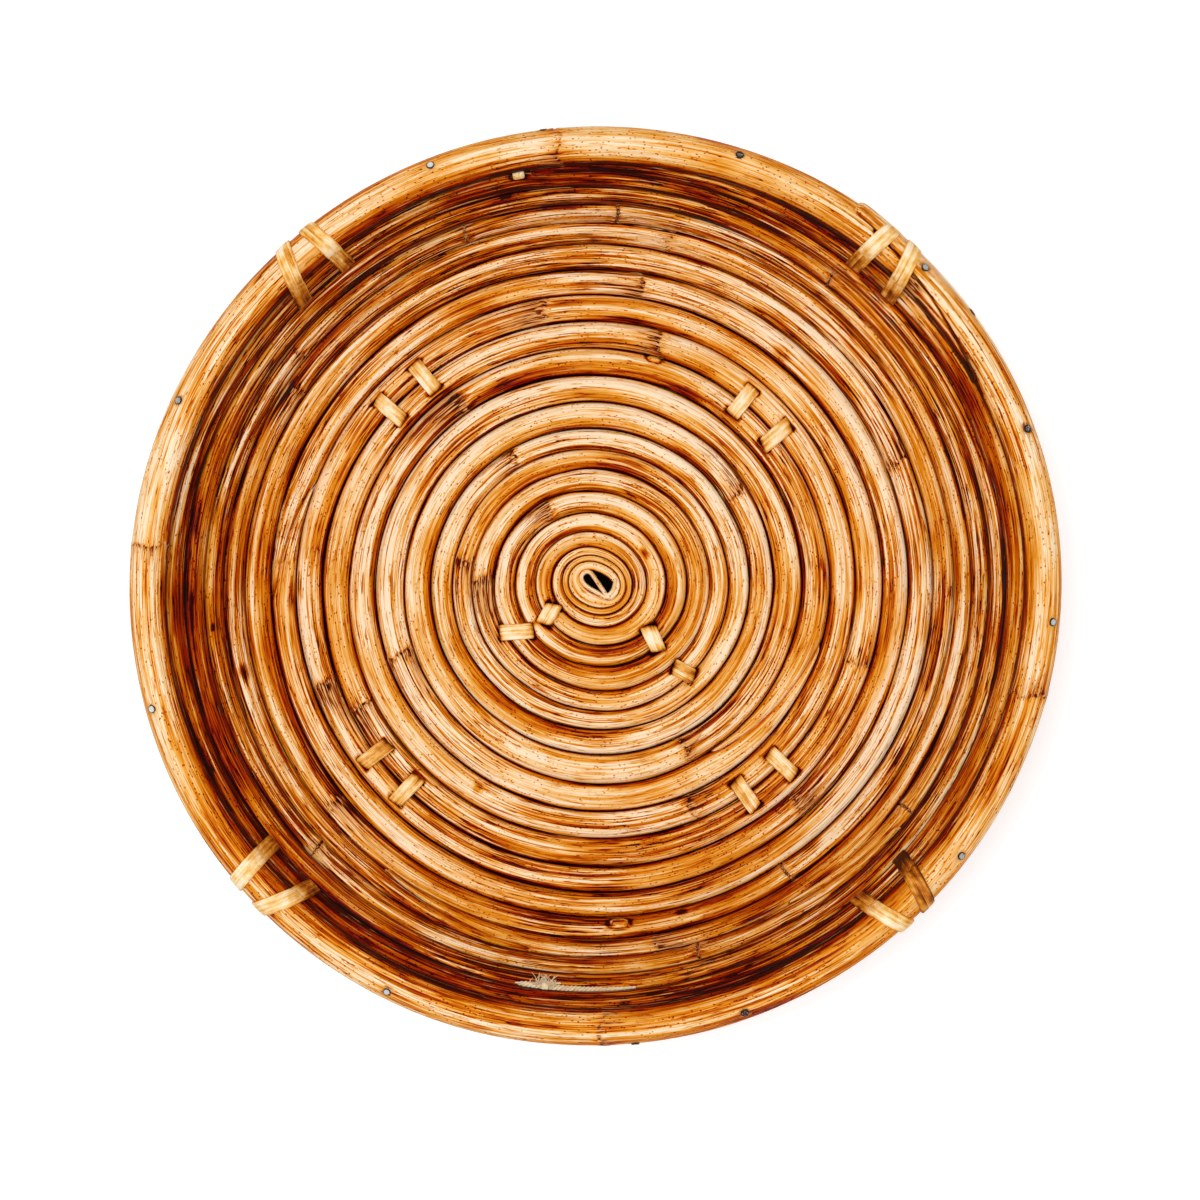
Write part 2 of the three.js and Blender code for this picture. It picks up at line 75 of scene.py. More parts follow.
FOLD_POINTS = [
    (7.0, 1.7), (6.7, -0.5), (6.0, -2.6), (4.7, -4.0), (3.5, -3.9), (2.6, -2.6), (0.9, -0.1), (-0.8, 2.4),
    (-1.8, 3.6), (-3.1, 4.0), (-4.5, 3.2), (-5.0, 1.7), (-4.2, -0.1), (-2.4, -1.7), (0.4, -3.3), (2.6, -4.7),
]
CORE_SLOT = [
    (-4.3, 1.8), (-3.7, 3.0), (-2.4, 3.5), (-1.1, 3.4), (1.3, 2.3), (3.8, 1.0), (5.7, -0.3), (6.1, -1.9),
    (5.4, -3.4), (4.1, -4.3), (2.6, -4.0), (1.7, -3.3), (-0.5, -2.1), (-2.3, -1.0), (-3.9, 0.4),
]
RIM_DIAMETER = 11.4
RIM_HALF = RIM_DIAMETER / 2 - FLAT_DEPTH
RIM_GAP = 0.3
STRAP_THICKNESS = 1.0
STRAP_WIDTH = 4.8
STRAP_CLEARANCE = 0.3
BASE_STRAP_SPAN = 12.2
BASE_STRAP_SPACING = 16.4
BASE_STRAP_TURNS = [12.127, 13.373, 13.617, 12.864]
# Where round the rim each strap is, and how far it slants from straight inward, in degrees
RIM_STRAPS = [
    (46.0, -18.4), (50.5, 8.5), (128.5, -10.3), (133.7, 24.2),
    (219.2, -10.3), (224.8, 24.6), (311.7, -20.0), (316.9, 19.0),
]
CENTRE_STRAPS = [
    ((-33.2, -15.9), (-21.6, -15.1)),
    ((-18.1, -12.8), (-14.2, -6.0)),
    ((18.0, -13.6), (21.8, -22.3)),
    ((27.0, -27.4), (34.2, -31.3)),
]
NAIL_ANGLES = [20, 44, 71.5, 111.4, 156, 195.5, 242.8, 289.3, 323.6, 355.5]
SIDE_NAIL_ANGLES = [36, 96.5, 275]
SIDE_NAIL_LEAN = math.radians(45)
NAIL_PLACES = [(angle, 0.0) for angle in NAIL_ANGLES]
NAIL_PLACES += [(angle, SIDE_NAIL_LEAN) for angle in SIDE_NAIL_ANGLES]
PEG_ANGLE = 100.6
PEG_SIZE = (2.9, 15.0, 3.9)
STRING_TURNS = (19.718, 19.766)
STRING_KNOT_TURN = 19.73

# The wall is a little out of round: how far its top stands out, and the section places where that grows
WALL_SPREAD = 0.5
WALL_OVAL_SIZE = 1.3
WALL_OVAL_ANGLE = math.radians(18)
WALL_SPREAD_PLACES = (105, 165)

# How the canes look: nearly touching, a little fuller than their solids
VISIBLE_GAP = -0.06
CROWN = 0.45
CROWN_TURNS = (1.5, 6.0)
WAVE_SIZE = 0.32
WAVE_TURNS = (3, 7)
CANE_SIDES = 44
RIDGE_DEPTH = 0.11
FACET_DEPTH = 0.24
CANE_END_LENGTH = 3.0
SQUARENESS = 2.8
CORE_SQUARENESS = 1.6
CORE_SQUARE_TURNS = (6.5, 3.0)
RIDGE_PLACES = (112, 150)
# The round below the top one's tip fills the room that the tip leaves
FILL_TURNS = (TOP_TIP - 1.010, TOP_TIP - 0.996)
FOLD_THICKNESS = 1.6
FOLD_RINGS = 150
# Splices: how far two lengths overlap, how much of the joint is left off, and how far it goes across
SPLICE_LAP = 0.08
SPLICE_TRIM = 0.08
SPLICE_REACH = 0.85
# Slits that straps go down into and the hole of the peg, with painted shade in the slits and round the hole
PIT_DEPTH = 1.5
HOLE_SHADE = 1.3
PEG_HOLE_REACH = 0.9
# Rings along a cane: the usual step, and the step, reach and least spacing near a mark
RING_STEP = 1.15
FINE_STEP = 0.3
FINE_REACH = 2.4
LEAST_STEP = 0.12

# Leaf scars on the canes: turn, strength and the length of the stained skin beyond the scar
SCARS = [
    (16.062, 0.9, 12), (15.226, 0.8, 10), (13.209, 0.7, 9), (10.094, 0.8, 10), (17.217, 0.6, 8),
    (14.279, 0.8, 12), (12.349, 1.0, 15), (9.338, 0.9, 14), (8.471, 0.9, 14), (7.495, 1.0, 14),
    (6.345, 0.9, 11), (17.407, 0.7, 9), (18.393, 0.7, 9), (14.554, 0.8, 11), (13.575, 0.9, 14),
    (11.555, 1.0, 13), (16.612, 0.8, 12), (14.869, 0.8, 10), (13.954, 0.7, 9), (12.814, 0.7, 9),
    (10.829, 0.7, 9), (17.777, 0.7, 9),
]
RIM_SCARS = [(94.6 / 360, 0.5, 9), (175 / 360, 0.4, 6), (346 / 360, 0.5, 8), (271 / 360, 0.6, 12)]
SCAR_SPREAD = 1.25
SCAR_COLLAR = 0.46
# Cracks across the canes of the wall
CRACKS = [19.146, 18.241, 18.306, 18.62, 18.794, 18.901, 16.844]
# Dark patches: turn, place round the cane in degrees, half length, half width and darkness
PATCHES = [
    (14.229, 130, 9, 1.5, 0.35), (11.304, 45, 12, 1.8, 0.35), (12.178, 128, 7, 1.8, 0.35),
    (15.504, 115, 7, 1.1, 0.45), (14.498, 50, 6, 1.4, 0.40), (17.538, 75, 3.5, 2.2, 0.50),
    (19.510, 60, 8, 0.9, 0.70), (18.517, 60, 1.1, 1.0, 0.95), (19.474, 60, 9, 0.9, 0.60),
    (17.454, 35, 7, 1.1, 0.55), (7.181, 110, 9, 1.4, 0.32), (5.089, 95, 2.4, 0.5, 0.70),
    (16.861, 105, 5, 1.5, 0.45), (16.791, 105, 2.4, 1.3, 0.65), (16.917, 70, 8, 1.6, 0.40),
    (14.900, 35, 8, 1.3, 0.45), (17.823, 50, 8, 1.5, 0.60), (17.855, 50, 8, 1.3, 0.50),
    (17.918, 32, 28, 1.4, 0.90), (20.459, 110, 9, 1.0, 0.70), (15.143, 100, 4.5, 2.6, 0.35),
    (12.666, 100, 2.2, 1.6, 0.40), (19.286, 34, 1.9, 1.2, 0.95),
]
# Knots: turn, place round the cane in degrees, half length, half width and height
KNOTS = [(12.210, 40, 2.5, 2.1, 0.9), (16.761, 100, 3.8, 2.0, 0.8)]

# Tone of a cane's skin at places from its inner to its outer side, on the floor and on the wall: partly its
# own colour, partly painted light, with a painted highlight along the pale band and painted shade, besides
# stain, in the grooves at both edges
BAND_PLACES = [-1.0, -0.95, -0.87, -0.7, -0.4, -0.1, 0.2, 0.55, 0.8, 0.91, 0.96, 1.0]
BAND_TONES = [-0.30, -0.02, 0.40, 0.61, 0.73, 0.83, 0.90, 0.92, 0.83, 0.60, 0.04, -0.30]
WALL_BAND_TONES = [-0.30, -0.06, 0.12, 0.29, 0.52, 0.68, 0.80, 0.88, 0.82, 0.44, -0.06, -0.30]
# How much painted shade darkens the wall and its top, and the section places over which each change comes in
WALL_SHADE = 0.10
WALL_PLACES = (106, 146)
TOP_SHADE = 0.22
TOP_PLACES = (135, 160)
# Painted light and shade: the bowl is painted paler on the side that the light comes from and darker round
# the rest
DARK_SIDE_SHADE = 0.11
LIT_SIDE_ANGLE = 8
LIT_SIDE_LIFT = 0.02
SIDE_PLACES = (70, 100)
# Painted shade and light on the top rounds: darker and paler lengths, by angle in degrees and change of tone
TOP_LENGTHS = [(82, -0.15), (228, -0.14), (168, 0.13)]
TOP_LENGTH_PLACES = (140, 155)
# Painted shade in the grooves between the rounds near the core, darker canes there, and the turns over which
# they come in
CORE_GROOVE = 0.58
CORE_GROOVE_TURNS = (6.0, 3.0)
CORE_SHADE = 0.05
CORE_SHADE_TURNS = (7.0, 4.0)
# How strongly the fibres show: on a glossy skin, more on a dry one, on the wall and in combed skin
GLOSSY_CONTRAST = 0.50
DRY_CONTRAST = 0.55
WALL_CONTRAST = 0.3
WALL_CONTRAST_PLACES = (95, 135)
COMB_CONTRAST = 1.5
OUTSIDE_CALM = 0.45
# How many random values a noise has before it comes round again
NOISE_CELLS = 4096
NOISE_ROWS = 2048
# Noises along a cane: size, cell length and seed
DRIFT_LAYERS = [(0.30, 55, 21), (0.14, 19, 22)]
TONE_LAYERS = [(0.08, 70, 23), (0.05, 17, 24)]
DRY_LAYERS = [(1.0, 46, 27), (0.3, 13, 28)]
# Noises on a cane's surface: cell length, seed and cells around it
TONE_CELLS = (60, 25, 10)
RIDGE_CELLS = (38, 31, 26)
FACET_CELLS = (75, 32, 7)

# The rim's lapped ends, by angle in degrees, and the seam between them from -1 inside to 1 outside
RIM_INNER_END = 27.5
RIM_END_TRIM = 0.002
RIM_OUTER_TIP = 55.8
RIM_SEAM_ANGLES = [26, 32, 38, 44, 50, 55.6]
RIM_SEAM_PLACES = [-1.0, -0.82, -0.55, -0.24, 0.0, 0.10]
RIM_SEAM_WIDTH = 0.06
RIM_FULL_ANGLES = (51.5, 53.5)
RIM_TIP_START = 45
RIM_TIP_OUT = 1.0
RIM_TIP_RISE = 0.75
RIM_END_LENGTH = 3.2
RIM_TORN_ANGLE = 43.3
RIM_TORN_LENGTH = 3.2
RIM_FULLNESS = 0.2
RIM_LEAN = math.pi / 2 - SLOPE
RIM_SIDES = 56
# Tone of the rim from its inner to its outer side, painted light and shade: pale over its top, painted shade
# down its inner side; and where it is darker or paler, in degrees, the lit lengths being painted light on
# that inner side
RIM_BAND_PLACES = [-1.0, -0.93, -0.84, -0.7, -0.4, -0.1, 0.25, 0.55, 0.8, 1.0]
RIM_BAND_TONES = [-0.20, 0.10, 0.45, 0.59, 0.71, 0.80, 0.86, 0.83, 0.76, 0.62]
RIM_LENGTHS = [(258, -0.11), (180, 0.06)]
RIM_LIT_LENGTHS = [(100, 0.11), (8, 0.17), (300, 0.06)]
RIM_SHADE = 0.01
RIM_DRIFT_LAYERS = [(0.16, 60, 52)]
RIM_TONE_LAYERS = [(0.08, 75, 53), (0.05, 16, 54)]
RIM_TONE_CELLS = (50, 55, 12)
RIM_RIDGE_CELLS = (45, 51, 30)
RIM_FACET_CELLS = (70, 56, 7)
TORN_CELLS = (2.2, 57, 22)
# The rim's fibres start elsewhere in the noises than the coil's
RIM_FIBRE_START = 9000
RIM_FIBRE_RISE = 40.0

# Straps: how much darker each worn one is, their section and their fullness
WORN_STRAPS = {
    "rim_tie_1": -0.06, "rim_tie_2": -0.06, "rim_tie_8": 0.38,
    "base_tie_5": 0.22, "base_tie_8": 0.08, "centre_tie_4": 0.12,
}
STRAP_SECTION = [
    (-1.0, -0.2), (-0.96, -0.44), (-0.8, -0.5), (-0.4, -0.5), (0.0, -0.5), (0.4, -0.5), (0.8, -0.5),
    (0.96, -0.44), (1.0, -0.2), (1.0, 0.15), (0.95, 0.38), (0.78, 0.47), (0.4, 0.54), (0.0, 0.57),
    (-0.4, 0.54), (-0.78, 0.47), (-0.95, 0.38), (-1.0, 0.15),
]
STRAP_TONE = 0.84
FLOOR_STRAP_FULLNESS = 1.12
FLOOR_STRAP_CORNER = 1.0
FLOOR_STRAP_CROWN = 0.45
FLOOR_STRAP_LIFT = 0.12
FLOOR_STRAP_SLANT = 0.9
FLOOR_STRAP_SEED = 60
RIM_STRAP_FULLNESS = 1.2
RIM_STRAP_LIFT = 0.15
RIM_STRAP_WALL_LIFT = 0.25
RIM_STRAP_SEED = 80

# A nail's outline from its head down: radius and height above its seat
NAIL_PROFILE = [
    (0.5, 0.46), (0.75, 0.40), (0.95, 0.52), (1.2, 0.50), (1.36, 0.34), (1.38, 0.10), (1.25, -0.05),
    (0.62, -0.12), (0.60, -6.0), (0.56, -7.6),
]
NAIL_SIDES = 20
NAIL_LIFT = 0.62
NAIL_EDGE_TONE = -0.9
# How much less rusty than most each nail is in its middle, and how much brighter its steel is painted there
# as a sheen
NAIL_SHINE = [-0.7, 0.2, -0.9, 0.8, 0.1, 1.1, 0.6, -1.0, 0.1, 0.4, 0.0, 0.0, 0.0]
NAIL_RUST = 0.95
NAIL_RUST_REACH = 2.1

# The peg: shares of its length from its middle, and how full it is there
PEG_STEPS = np.array([-0.36, -0.355, -0.33, -0.2, 0.0, 0.3, 0.46, 0.49, 0.5])[:, None]
PEG_FULLNESS = np.array([0.6, 0.86, 1.0, 1.0, 1.0, 1.0, 1.0, 0.86, 0.6])[:, None]
PEG_SIDES = 24
PEG_TONE = 0.82

# The string and its knot, each wrap of it by its shift along the string and its radius
STRING_SEAT = 3.6
STRING_STEPS = 90
STRING_THINNING = 0.62
STRAND_COUNT = 3
STRAND_TWIST = 1.5
STRAND_RADIUS = 0.62
STRAND_OFFSET = 0.64
STRAND_SIDES = 10
KNOT_WRAPS = [(-0.5, 1.5), (0.4, 1.4)]
KNOT_WRAP_TURNS = 1.6
KNOT_WRAP_PITCH = 0.5
KNOT_WRAP_STEPS = 60
# The knot's tuft reaches along the string, into the bowl and up
TUFT_REACH = (5.2, 1.9, 0.7)
TUFT_STEPS = 24
TUFT_SIDES = 8
HAIR_COUNT = 64
HAIR_STEPS = 14
HAIR_SIDES = 4

# The white floor, in metres: its half size, the edge of the painted shade disc under the bowl, and where it
# glows
FLOOR_SIZE = 14.0
FLOOR_SHADE_RADII = (0.092, 0.104)
FLOOR_WHITE_RADII = (0.3, 1.8)
FLOOR_NEAR_GLOW = 0.35
# The light: the world's level, and each lamp's name, place, size and power
WORLD_LEVEL = 0.42
LAMPS = [("softbox", (-0.35, 0.15, 1.3), 0.9, 10.6), ("fill", (0.6, -0.5, 1.2), 0.8, 4.0)]
LAMP_TARGET = (0, 0, 0.02)


def smooth(x, low, high):
    share = np.clip((x - low) / (high - low), 0, 1)
    return share * share * (3 - 2 * share)


def bell(x, width):
    """1 at zero, falling off on both sides."""
    return np.exp(-((x / width) ** 2))


def value_noise(x, seed):
    """Smooth noise along a line, from -1 to 1, with one random value at each whole number."""
    values = np.random.default_rng(seed).uniform(-1, 1, NOISE_CELLS)
    cell = np.floor(x).astype(int)
    share = smooth(x - cell, 0, 1)
    return values[cell % NOISE_CELLS] * (1 - share) + values[(cell + 1) % NOISE_CELLS] * share


def layered(x, layers):
    """Noises along a line, added up: the size, cell length and seed of each."""
    return sum(size * value_noise(x / length, seed) for size, length, seed in layers)


def fibre_noise(along, around, cells):
    """Noise on a cane's surface, closed round it: the cells' length, the seed, and the cells around."""
    length, seed, columns = cells
    values = np.random.default_rng(seed).uniform(-1, 1, (NOISE_ROWS, columns))
    row = np.floor(along / length).astype(int)
    row_share = smooth(along / length - row, 0, 1)
    place = around / TAU * columns
    column = np.floor(place).astype(int)
    column_share = smooth(place - column, 0, 1)

    def at(row_step):
        line = (row + row_step) % NOISE_ROWS
        near, far = values[line, column % columns], values[line, (column + 1) % columns]
        return near * (1 - column_share) + far * column_share

    return at(0) * (1 - row_share) + at(1) * row_share


def unit(vectors):
    """The same directions, with a length of 1."""
    return vectors / np.linalg.norm(vectors, axis=-1, keepdims=True)


def as_vectors(*values):
    """Values side by side along a new last axis, all spread over one grid."""
    return np.stack(np.broadcast_arrays(*values), axis=-1)


def circle(sides):
    """The angles of points spread evenly round a circle."""
    return np.arange(sides) * TAU / sides


def lengths_along(path):
    """The distance along a path to each of its points."""
    return np.concatenate([[0], np.cumsum(np.linalg.norm(np.diff(path, axis=0), axis=1))])


def directions(path):
    """The direction of a path at each of its points."""
    return unit(np.gradient(path, axis=0))


def loop_steps(loop):
    """The same for a closed loop, as steps from the point before to the point after."""
    return np.roll(loop, -1, axis=0) - np.roll(loop, 1, axis=0)


def even_edge(turn):
    """Distance along the bowl's section to the outer edge of the coil, evenly wound."""
    turn = np.asarray(turn, float)
    edge = CORE_RADIUS + np.minimum(turn, 0) * ROUND_WIDTHS[0]
    for index, width in enumerate(ROUND_WIDTHS):
        edge = edge + width * np.clip(turn - index, 0, 1)
    return edge + WALL_ROUND_WIDTH * np.maximum(0, turn - len(ROUND_WIDTHS))


def coil_edge(turn):
    """The same edge, with the climb of the upper rounds gathered and the top one levelled off."""
    levelled = np.minimum(turn, COIL_END - 1)
    part = levelled - np.floor(levelled)
    gathered = smooth(levelled, len(ROUND_WIDTHS), CLIMB_FULL_TURN)
    late = sum(delay * smooth(levelled, low, high) for low, high, delay in LATE_CLIMBS)
    climb = smooth(part, late, CLIMB_SHARE) - part - (0.5 - CLIMB_SHARE / 2)
    return even_edge(levelled) + gathered * climb * WALL_ROUND_WIDTH


def wavy_edge(turn):
    """The edge between two rounds wanders a little, and both of them follow it."""
    levelled = np.minimum(np.asarray(turn, float), COIL_END - 1)
    wave = value_noise(levelled * 9, 11) + 0.6 * value_noise(levelled * 23, 12)
    return coil_edge(turn) + WAVE_SIZE * smooth(levelled, *WAVE_TURNS) * wave


def half_height(turn):
    width = even_edge(turn) - even_edge(np.asarray(turn) - 1) - COIL_GAP
    return np.maximum(width, STRIP_HEIGHT) / 2 - FLAT_DEPTH


def crest_height(turn):
    return 2 * half_height(turn) + CROWN * smooth(turn, *CROWN_TURNS)


def wall_point(turn, along, inward, height):
    """A point of the bowl, from the round's turn, the distance along the section and the depth in it."""
    angle = TAU * turn
    lean = np.clip((along - FLOOR_RADIUS) / BEND_RADIUS, 0, SLOPE)
    beyond = np.maximum(0, along - FLOOR_RADIUS - BEND_RADIUS * SLOPE)
    radius = np.minimum(along, FLOOR_RADIUS) + BEND_RADIUS * np.sin(lean) + beyond * math.cos(SLOPE)
    level = BEND_RADIUS * (1 - np.cos(lean)) + beyond * math.sin(SLOPE)
    fade = np.maximum(0, 1 - along / FLOOR_RADIUS)
    oval = OVAL_SIZE * fade * np.cos(2 * (angle - OVAL_ANGLE))
    spread = WALL_SPREAD + WALL_OVAL_SIZE * np.cos(2 * (angle - WALL_OVAL_ANGLE))
    radius = radius - inward * np.sin(lean) + oval + spread * smooth(along, *WALL_SPREAD_PLACES)
    return as_vectors(
        radius * np.cos(angle),
        radius * np.sin(angle) + CORE_OFFSET * fade,
        level + inward * np.cos(lean) + height,
    )


TOP_EDGE = float(coil_edge(COIL_END))
RIM_ALONG = TOP_EDGE + RIM_GAP + RIM_HALF
WALL_HEIGHT = float(half_height(COIL_END))

# Length of cane from the core to any turn
TURN_TABLE = np.linspace(0, COIL_END, 6001)
MIDDLE_TABLE = (coil_edge(TURN_TABLE - 1) + coil_edge(TURN_TABLE)) / 2
LENGTH_TABLE = lengths_along(wall_point(TURN_TABLE, MIDDLE_TABLE, 0, half_height(TURN_TABLE)))


def length_at(turn):
    return np.interp(turn, TURN_TABLE, LENGTH_TABLE)


def turn_at(length):
    return np.interp(length, LENGTH_TABLE, TURN_TABLE)


def rim_point(turn, outward, up):
    return wall_point(turn, RIM_ALONG + up, -outward, WALL_HEIGHT)


def rim_axes(turn):
    """Directions at the rim: up the wall, out through it, and round the bowl."""
    angle = TAU * turn
    flat = np.array([math.cos(angle), math.sin(angle), 0.0])
    up = flat * math.cos(SLOPE) + UP * math.sin(SLOPE)
    out = flat * math.sin(SLOPE) - UP * math.cos(SLOPE)
    return up, out, np.array([-math.sin(angle), math.cos(angle), 0.0])


def link(piece):
    bpy.context.scene.collection.objects.link(piece)
    return piece


def new_object(name, points, quads, triangles, attributes, material):
    """A smooth mesh from points in millimetres, with named values at its points for the shader."""
    mesh = bpy.data.meshes.new(name)
    loops = np.concatenate([quads.ravel(), triangles.ravel()]).astype(np.int32)
    triangle_starts = len(quads) * 4 + np.arange(len(triangles)) * 3
    starts = np.concatenate([np.arange(len(quads)) * 4, triangle_starts]).astype(np.int32)
    mesh.vertices.add(len(points))
    mesh.vertices.foreach_set("co", (points * MM).astype(np.float32).ravel())
    mesh.loops.add(len(loops))
    mesh.loops.foreach_set("vertex_index", loops)
    mesh.polygons.add(len(starts))
    mesh.polygons.foreach_set("loop_start", starts)
    mesh.update(calc_edges=True)
    mesh.validate()
    mesh.shade_smooth()
    for key, values in attributes.items():
        kind, slot = ("FLOAT_VECTOR", "vector") if values.ndim == 2 else ("FLOAT", "value")
        mesh.attributes.new(key, kind, "POINT").data.foreach_set(slot, values.astype(np.float32).ravel())
    mesh.materials.append(material)
    return link(bpy.data.objects.new(name, mesh))


def tube_faces(rings, sides, closed):
    """Quads between the rings of a tube, and the triangles of its two ends, whose middles come last."""
    index = np.arange(rings * sides).reshape(rings, sides)
    following = np.roll(index, -1, axis=1)
    ahead, ahead_following = np.roll(index, -1, axis=0), np.roll(following, -1, axis=0)
    rows = rings if closed else rings - 1
    quads = as_vectors(ahead, ahead_following, following, index)[:rows].reshape(-1, 4)
    if closed:
        return quads, np.zeros((0, 3), int)
    start = as_vectors(index[0], following[0], rings * sides)
    end = as_vectors(following[-1], index[-1], rings * sides + 1)
    return quads, np.concatenate([start, end])


def with_ends(values, closed):
    """Values at all the points of a tube and, where it is open, at the middles of its two ends."""
    flat = values.reshape(-1, *values.shape[2:])
    return flat if closed else np.concatenate([flat, values[:1].mean(axis=1), values[-1:].mean(axis=1)])


def tube_object(name, tubes, material, closed=False):
    """One object from tubes, each given as its rings of points and the named values at them."""
    points, quads, triangles, offset = [], [], [], 0
    for rings, _ in tubes:
        tube_quads, tube_triangles = tube_faces(*rings.shape[:2], closed)
        points.append(with_ends(rings, closed))
        quads.append(tube_quads + offset)
        triangles.append(tube_triangles + offset)
        offset += len(points[-1])
    values = {
        key: np.concatenate([with_ends(attributes[key], closed) for _, attributes in tubes])
        for key in tubes[0][1]
    }
    points, quads, triangles = (np.concatenate(part) for part in (points, quads, triangles))
    return new_object(name, points, quads, triangles, values, material)


def stand_in(piece, node):
    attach(piece, "root")
    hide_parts(node)
    return piece


class Shader:
    """The nodes of a new material or world."""

    def __init__(self, owner, surface="Principled BSDF"):
        owner.use_nodes = True
        self.owner = owner
        self.tree = owner.node_tree
        self.surface = self.tree.nodes[surface]

    def feed(self, socket, value):
        if isinstance(value, bpy.types.NodeSocket):
            self.tree.links.new(value, socket)
        else:
            socket.default_value = value

    def node(self, kind, inputs, **settings):
        """The outputs of a new node, whose inputs take numbers, colours or other nodes' outputs."""
        made = self.tree.nodes.new(kind)
        for key, value in settings.items():
            setattr(made, key, value)
        for key, value in inputs.items():
            self.feed(made.inputs[key], value)
        return made.outputs

    def attribute(self, name, output="Fac"):
        return self.node("ShaderNodeAttribute", {}, attribute_name=name)[output]

    def math(self, operation, *values):
        return self.node("ShaderNodeMath", dict(enumerate(values)), operation=operation)[0]

    def weighted(self, *pairs):
        """The sum of values, each times its weight."""
        total = 0.0
        for value, weight in pairs:
            total = self.math("MULTIPLY_ADD", value, weight, total)
        return total

    def stretched(self, vector, scale):
        return self.node("ShaderNodeVectorMath", {0: vector, 1: scale}, operation="MULTIPLY")[0]

    def noise(self, vector, scale, detail, roughness):
        inputs = {"Scale": 1.0, "Detail": detail, "Roughness": roughness}
        inputs["Vector"] = self.stretched(vector, scale)
        return self.node("ShaderNodeTexNoise", inputs, noise_dimensions="3D")[0]

    def grain(self, vector, scale, detail, roughness):
        """A noise with its middle at zero."""
        return self.math("SUBTRACT", self.noise(vector, scale, detail, roughness), 0.5)

    def specks(self, vector, scale):
        """Distance from the nearest of many scattered points."""
        inputs = {"Scale": 1.0, "Vector": self.stretched(vector, scale)}
        return self.node("ShaderNodeTexVoronoi", inputs, feature="F1")["Distance"]

    def step(self, value, low, high, bottom=0.0, top=1.0):
        inputs = dict(enumerate((value, low, high, bottom, top)))
        return self.node("ShaderNodeMapRange", inputs, interpolation_type="SMOOTHSTEP")[0]

    def ramp(self, value, stops):
        outputs = self.node("ShaderNodeValToRGB", {0: value})
        elements = outputs[0].node.color_ramp.elements
        while len(elements) < len(stops):
            elements.new(0.5)
        for element, (position, colour) in zip(elements, stops):
            element.position = position
            element.color = colour
        return outputs[0]

    def mix(self, share, first, second):
        return self.node("ShaderNodeMix", {0: share, 6: first, 7: second}, data_type="RGBA")[2]

    def bump(self, height, strength, distance):
        inputs = {"Height": height, "Strength": strength, "Distance": distance * MM}
        return self.node("ShaderNodeBump", inputs)[0]

    def seen(self):
        """1 for rays that show a thing as it is: from the camera, in gloss or through glass."""
        rays = self.node("ShaderNodeLightPath", {})
        seen = self.math("MAXIMUM", rays["Is Camera Ray"], rays["Is Glossy Ray"])
        return self.math("MAXIMUM", seen, rays["Is Transmission Ray"])

    def finish(self, **sockets):
        for key, value in sockets.items():
            self.feed(self.surface.inputs[key.replace("_", " ")], value)
        return self.owner


def new_shader(name):
    return Shader(bpy.data.materials.new(name))


def srgb(*levels):
    """A colour as a screen shows it, from 0 to 255, in the values that the shader needs."""
    shares = [level / 255 for level in levels]
    linear = [((share + 0.055) / 1.055) ** 2.4 if share > 0.04 else share / 12.92 for share in shares]
    return (*linear, 1.0)


# Cane colours from its darkest stain to its palest skin
CANE_RAMP = [
    (0.00, srgb(40, 1, 2)), (0.13, srgb(114, 5, 2)), (0.26, srgb(153, 30, 0)),
    (0.39, srgb(180, 70, 0)), (0.52, srgb(206, 107, 1)), (0.65, srgb(228, 143, 24)),
    (0.78, srgb(241, 178, 92)), (0.90, srgb(249, 207, 152)), (1.00, srgb(253, 228, 194)),
]
GRIME_RAMP = [
    (0.28, srgb(26, 2, 2)), (0.44, srgb(108, 22, 2)),
    (0.58, srgb(166, 78, 10)), (0.74, srgb(230, 170, 102)),
]
STRAP_RAMP = [
    (0.0, srgb(60, 14, 2)), (0.25, srgb(150, 70, 4)), (0.45, srgb(208, 128, 26)),
    (0.65, srgb(238, 176, 84)), (0.82, srgb(250, 212, 150)), (1.0, srgb(255, 236, 204)),
]
STRING_RAMP = [(0.38, srgb(150, 104, 58)), (0.53, srgb(226, 196, 150)), (0.80, srgb(250, 236, 208))]
DULL_STEEL = (0.34, 0.32, 0.29, 1.0)
SHEEN_STEEL = (0.62, 0.65, 0.67, 1.0)
RUST = (0.026, 0.010, 0.005, 1.0)
FLOOR_SHADE_COLOUR = (0.004, 0.002, 0.001, 1.0)
FLOOR_PALE = (0.92, 0.92, 0.92, 1.0)
WHITE = (1.0, 1.0, 1.0, 1.0)
VARNISH_TINT = (1.0, 0.78, 0.52, 1.0)


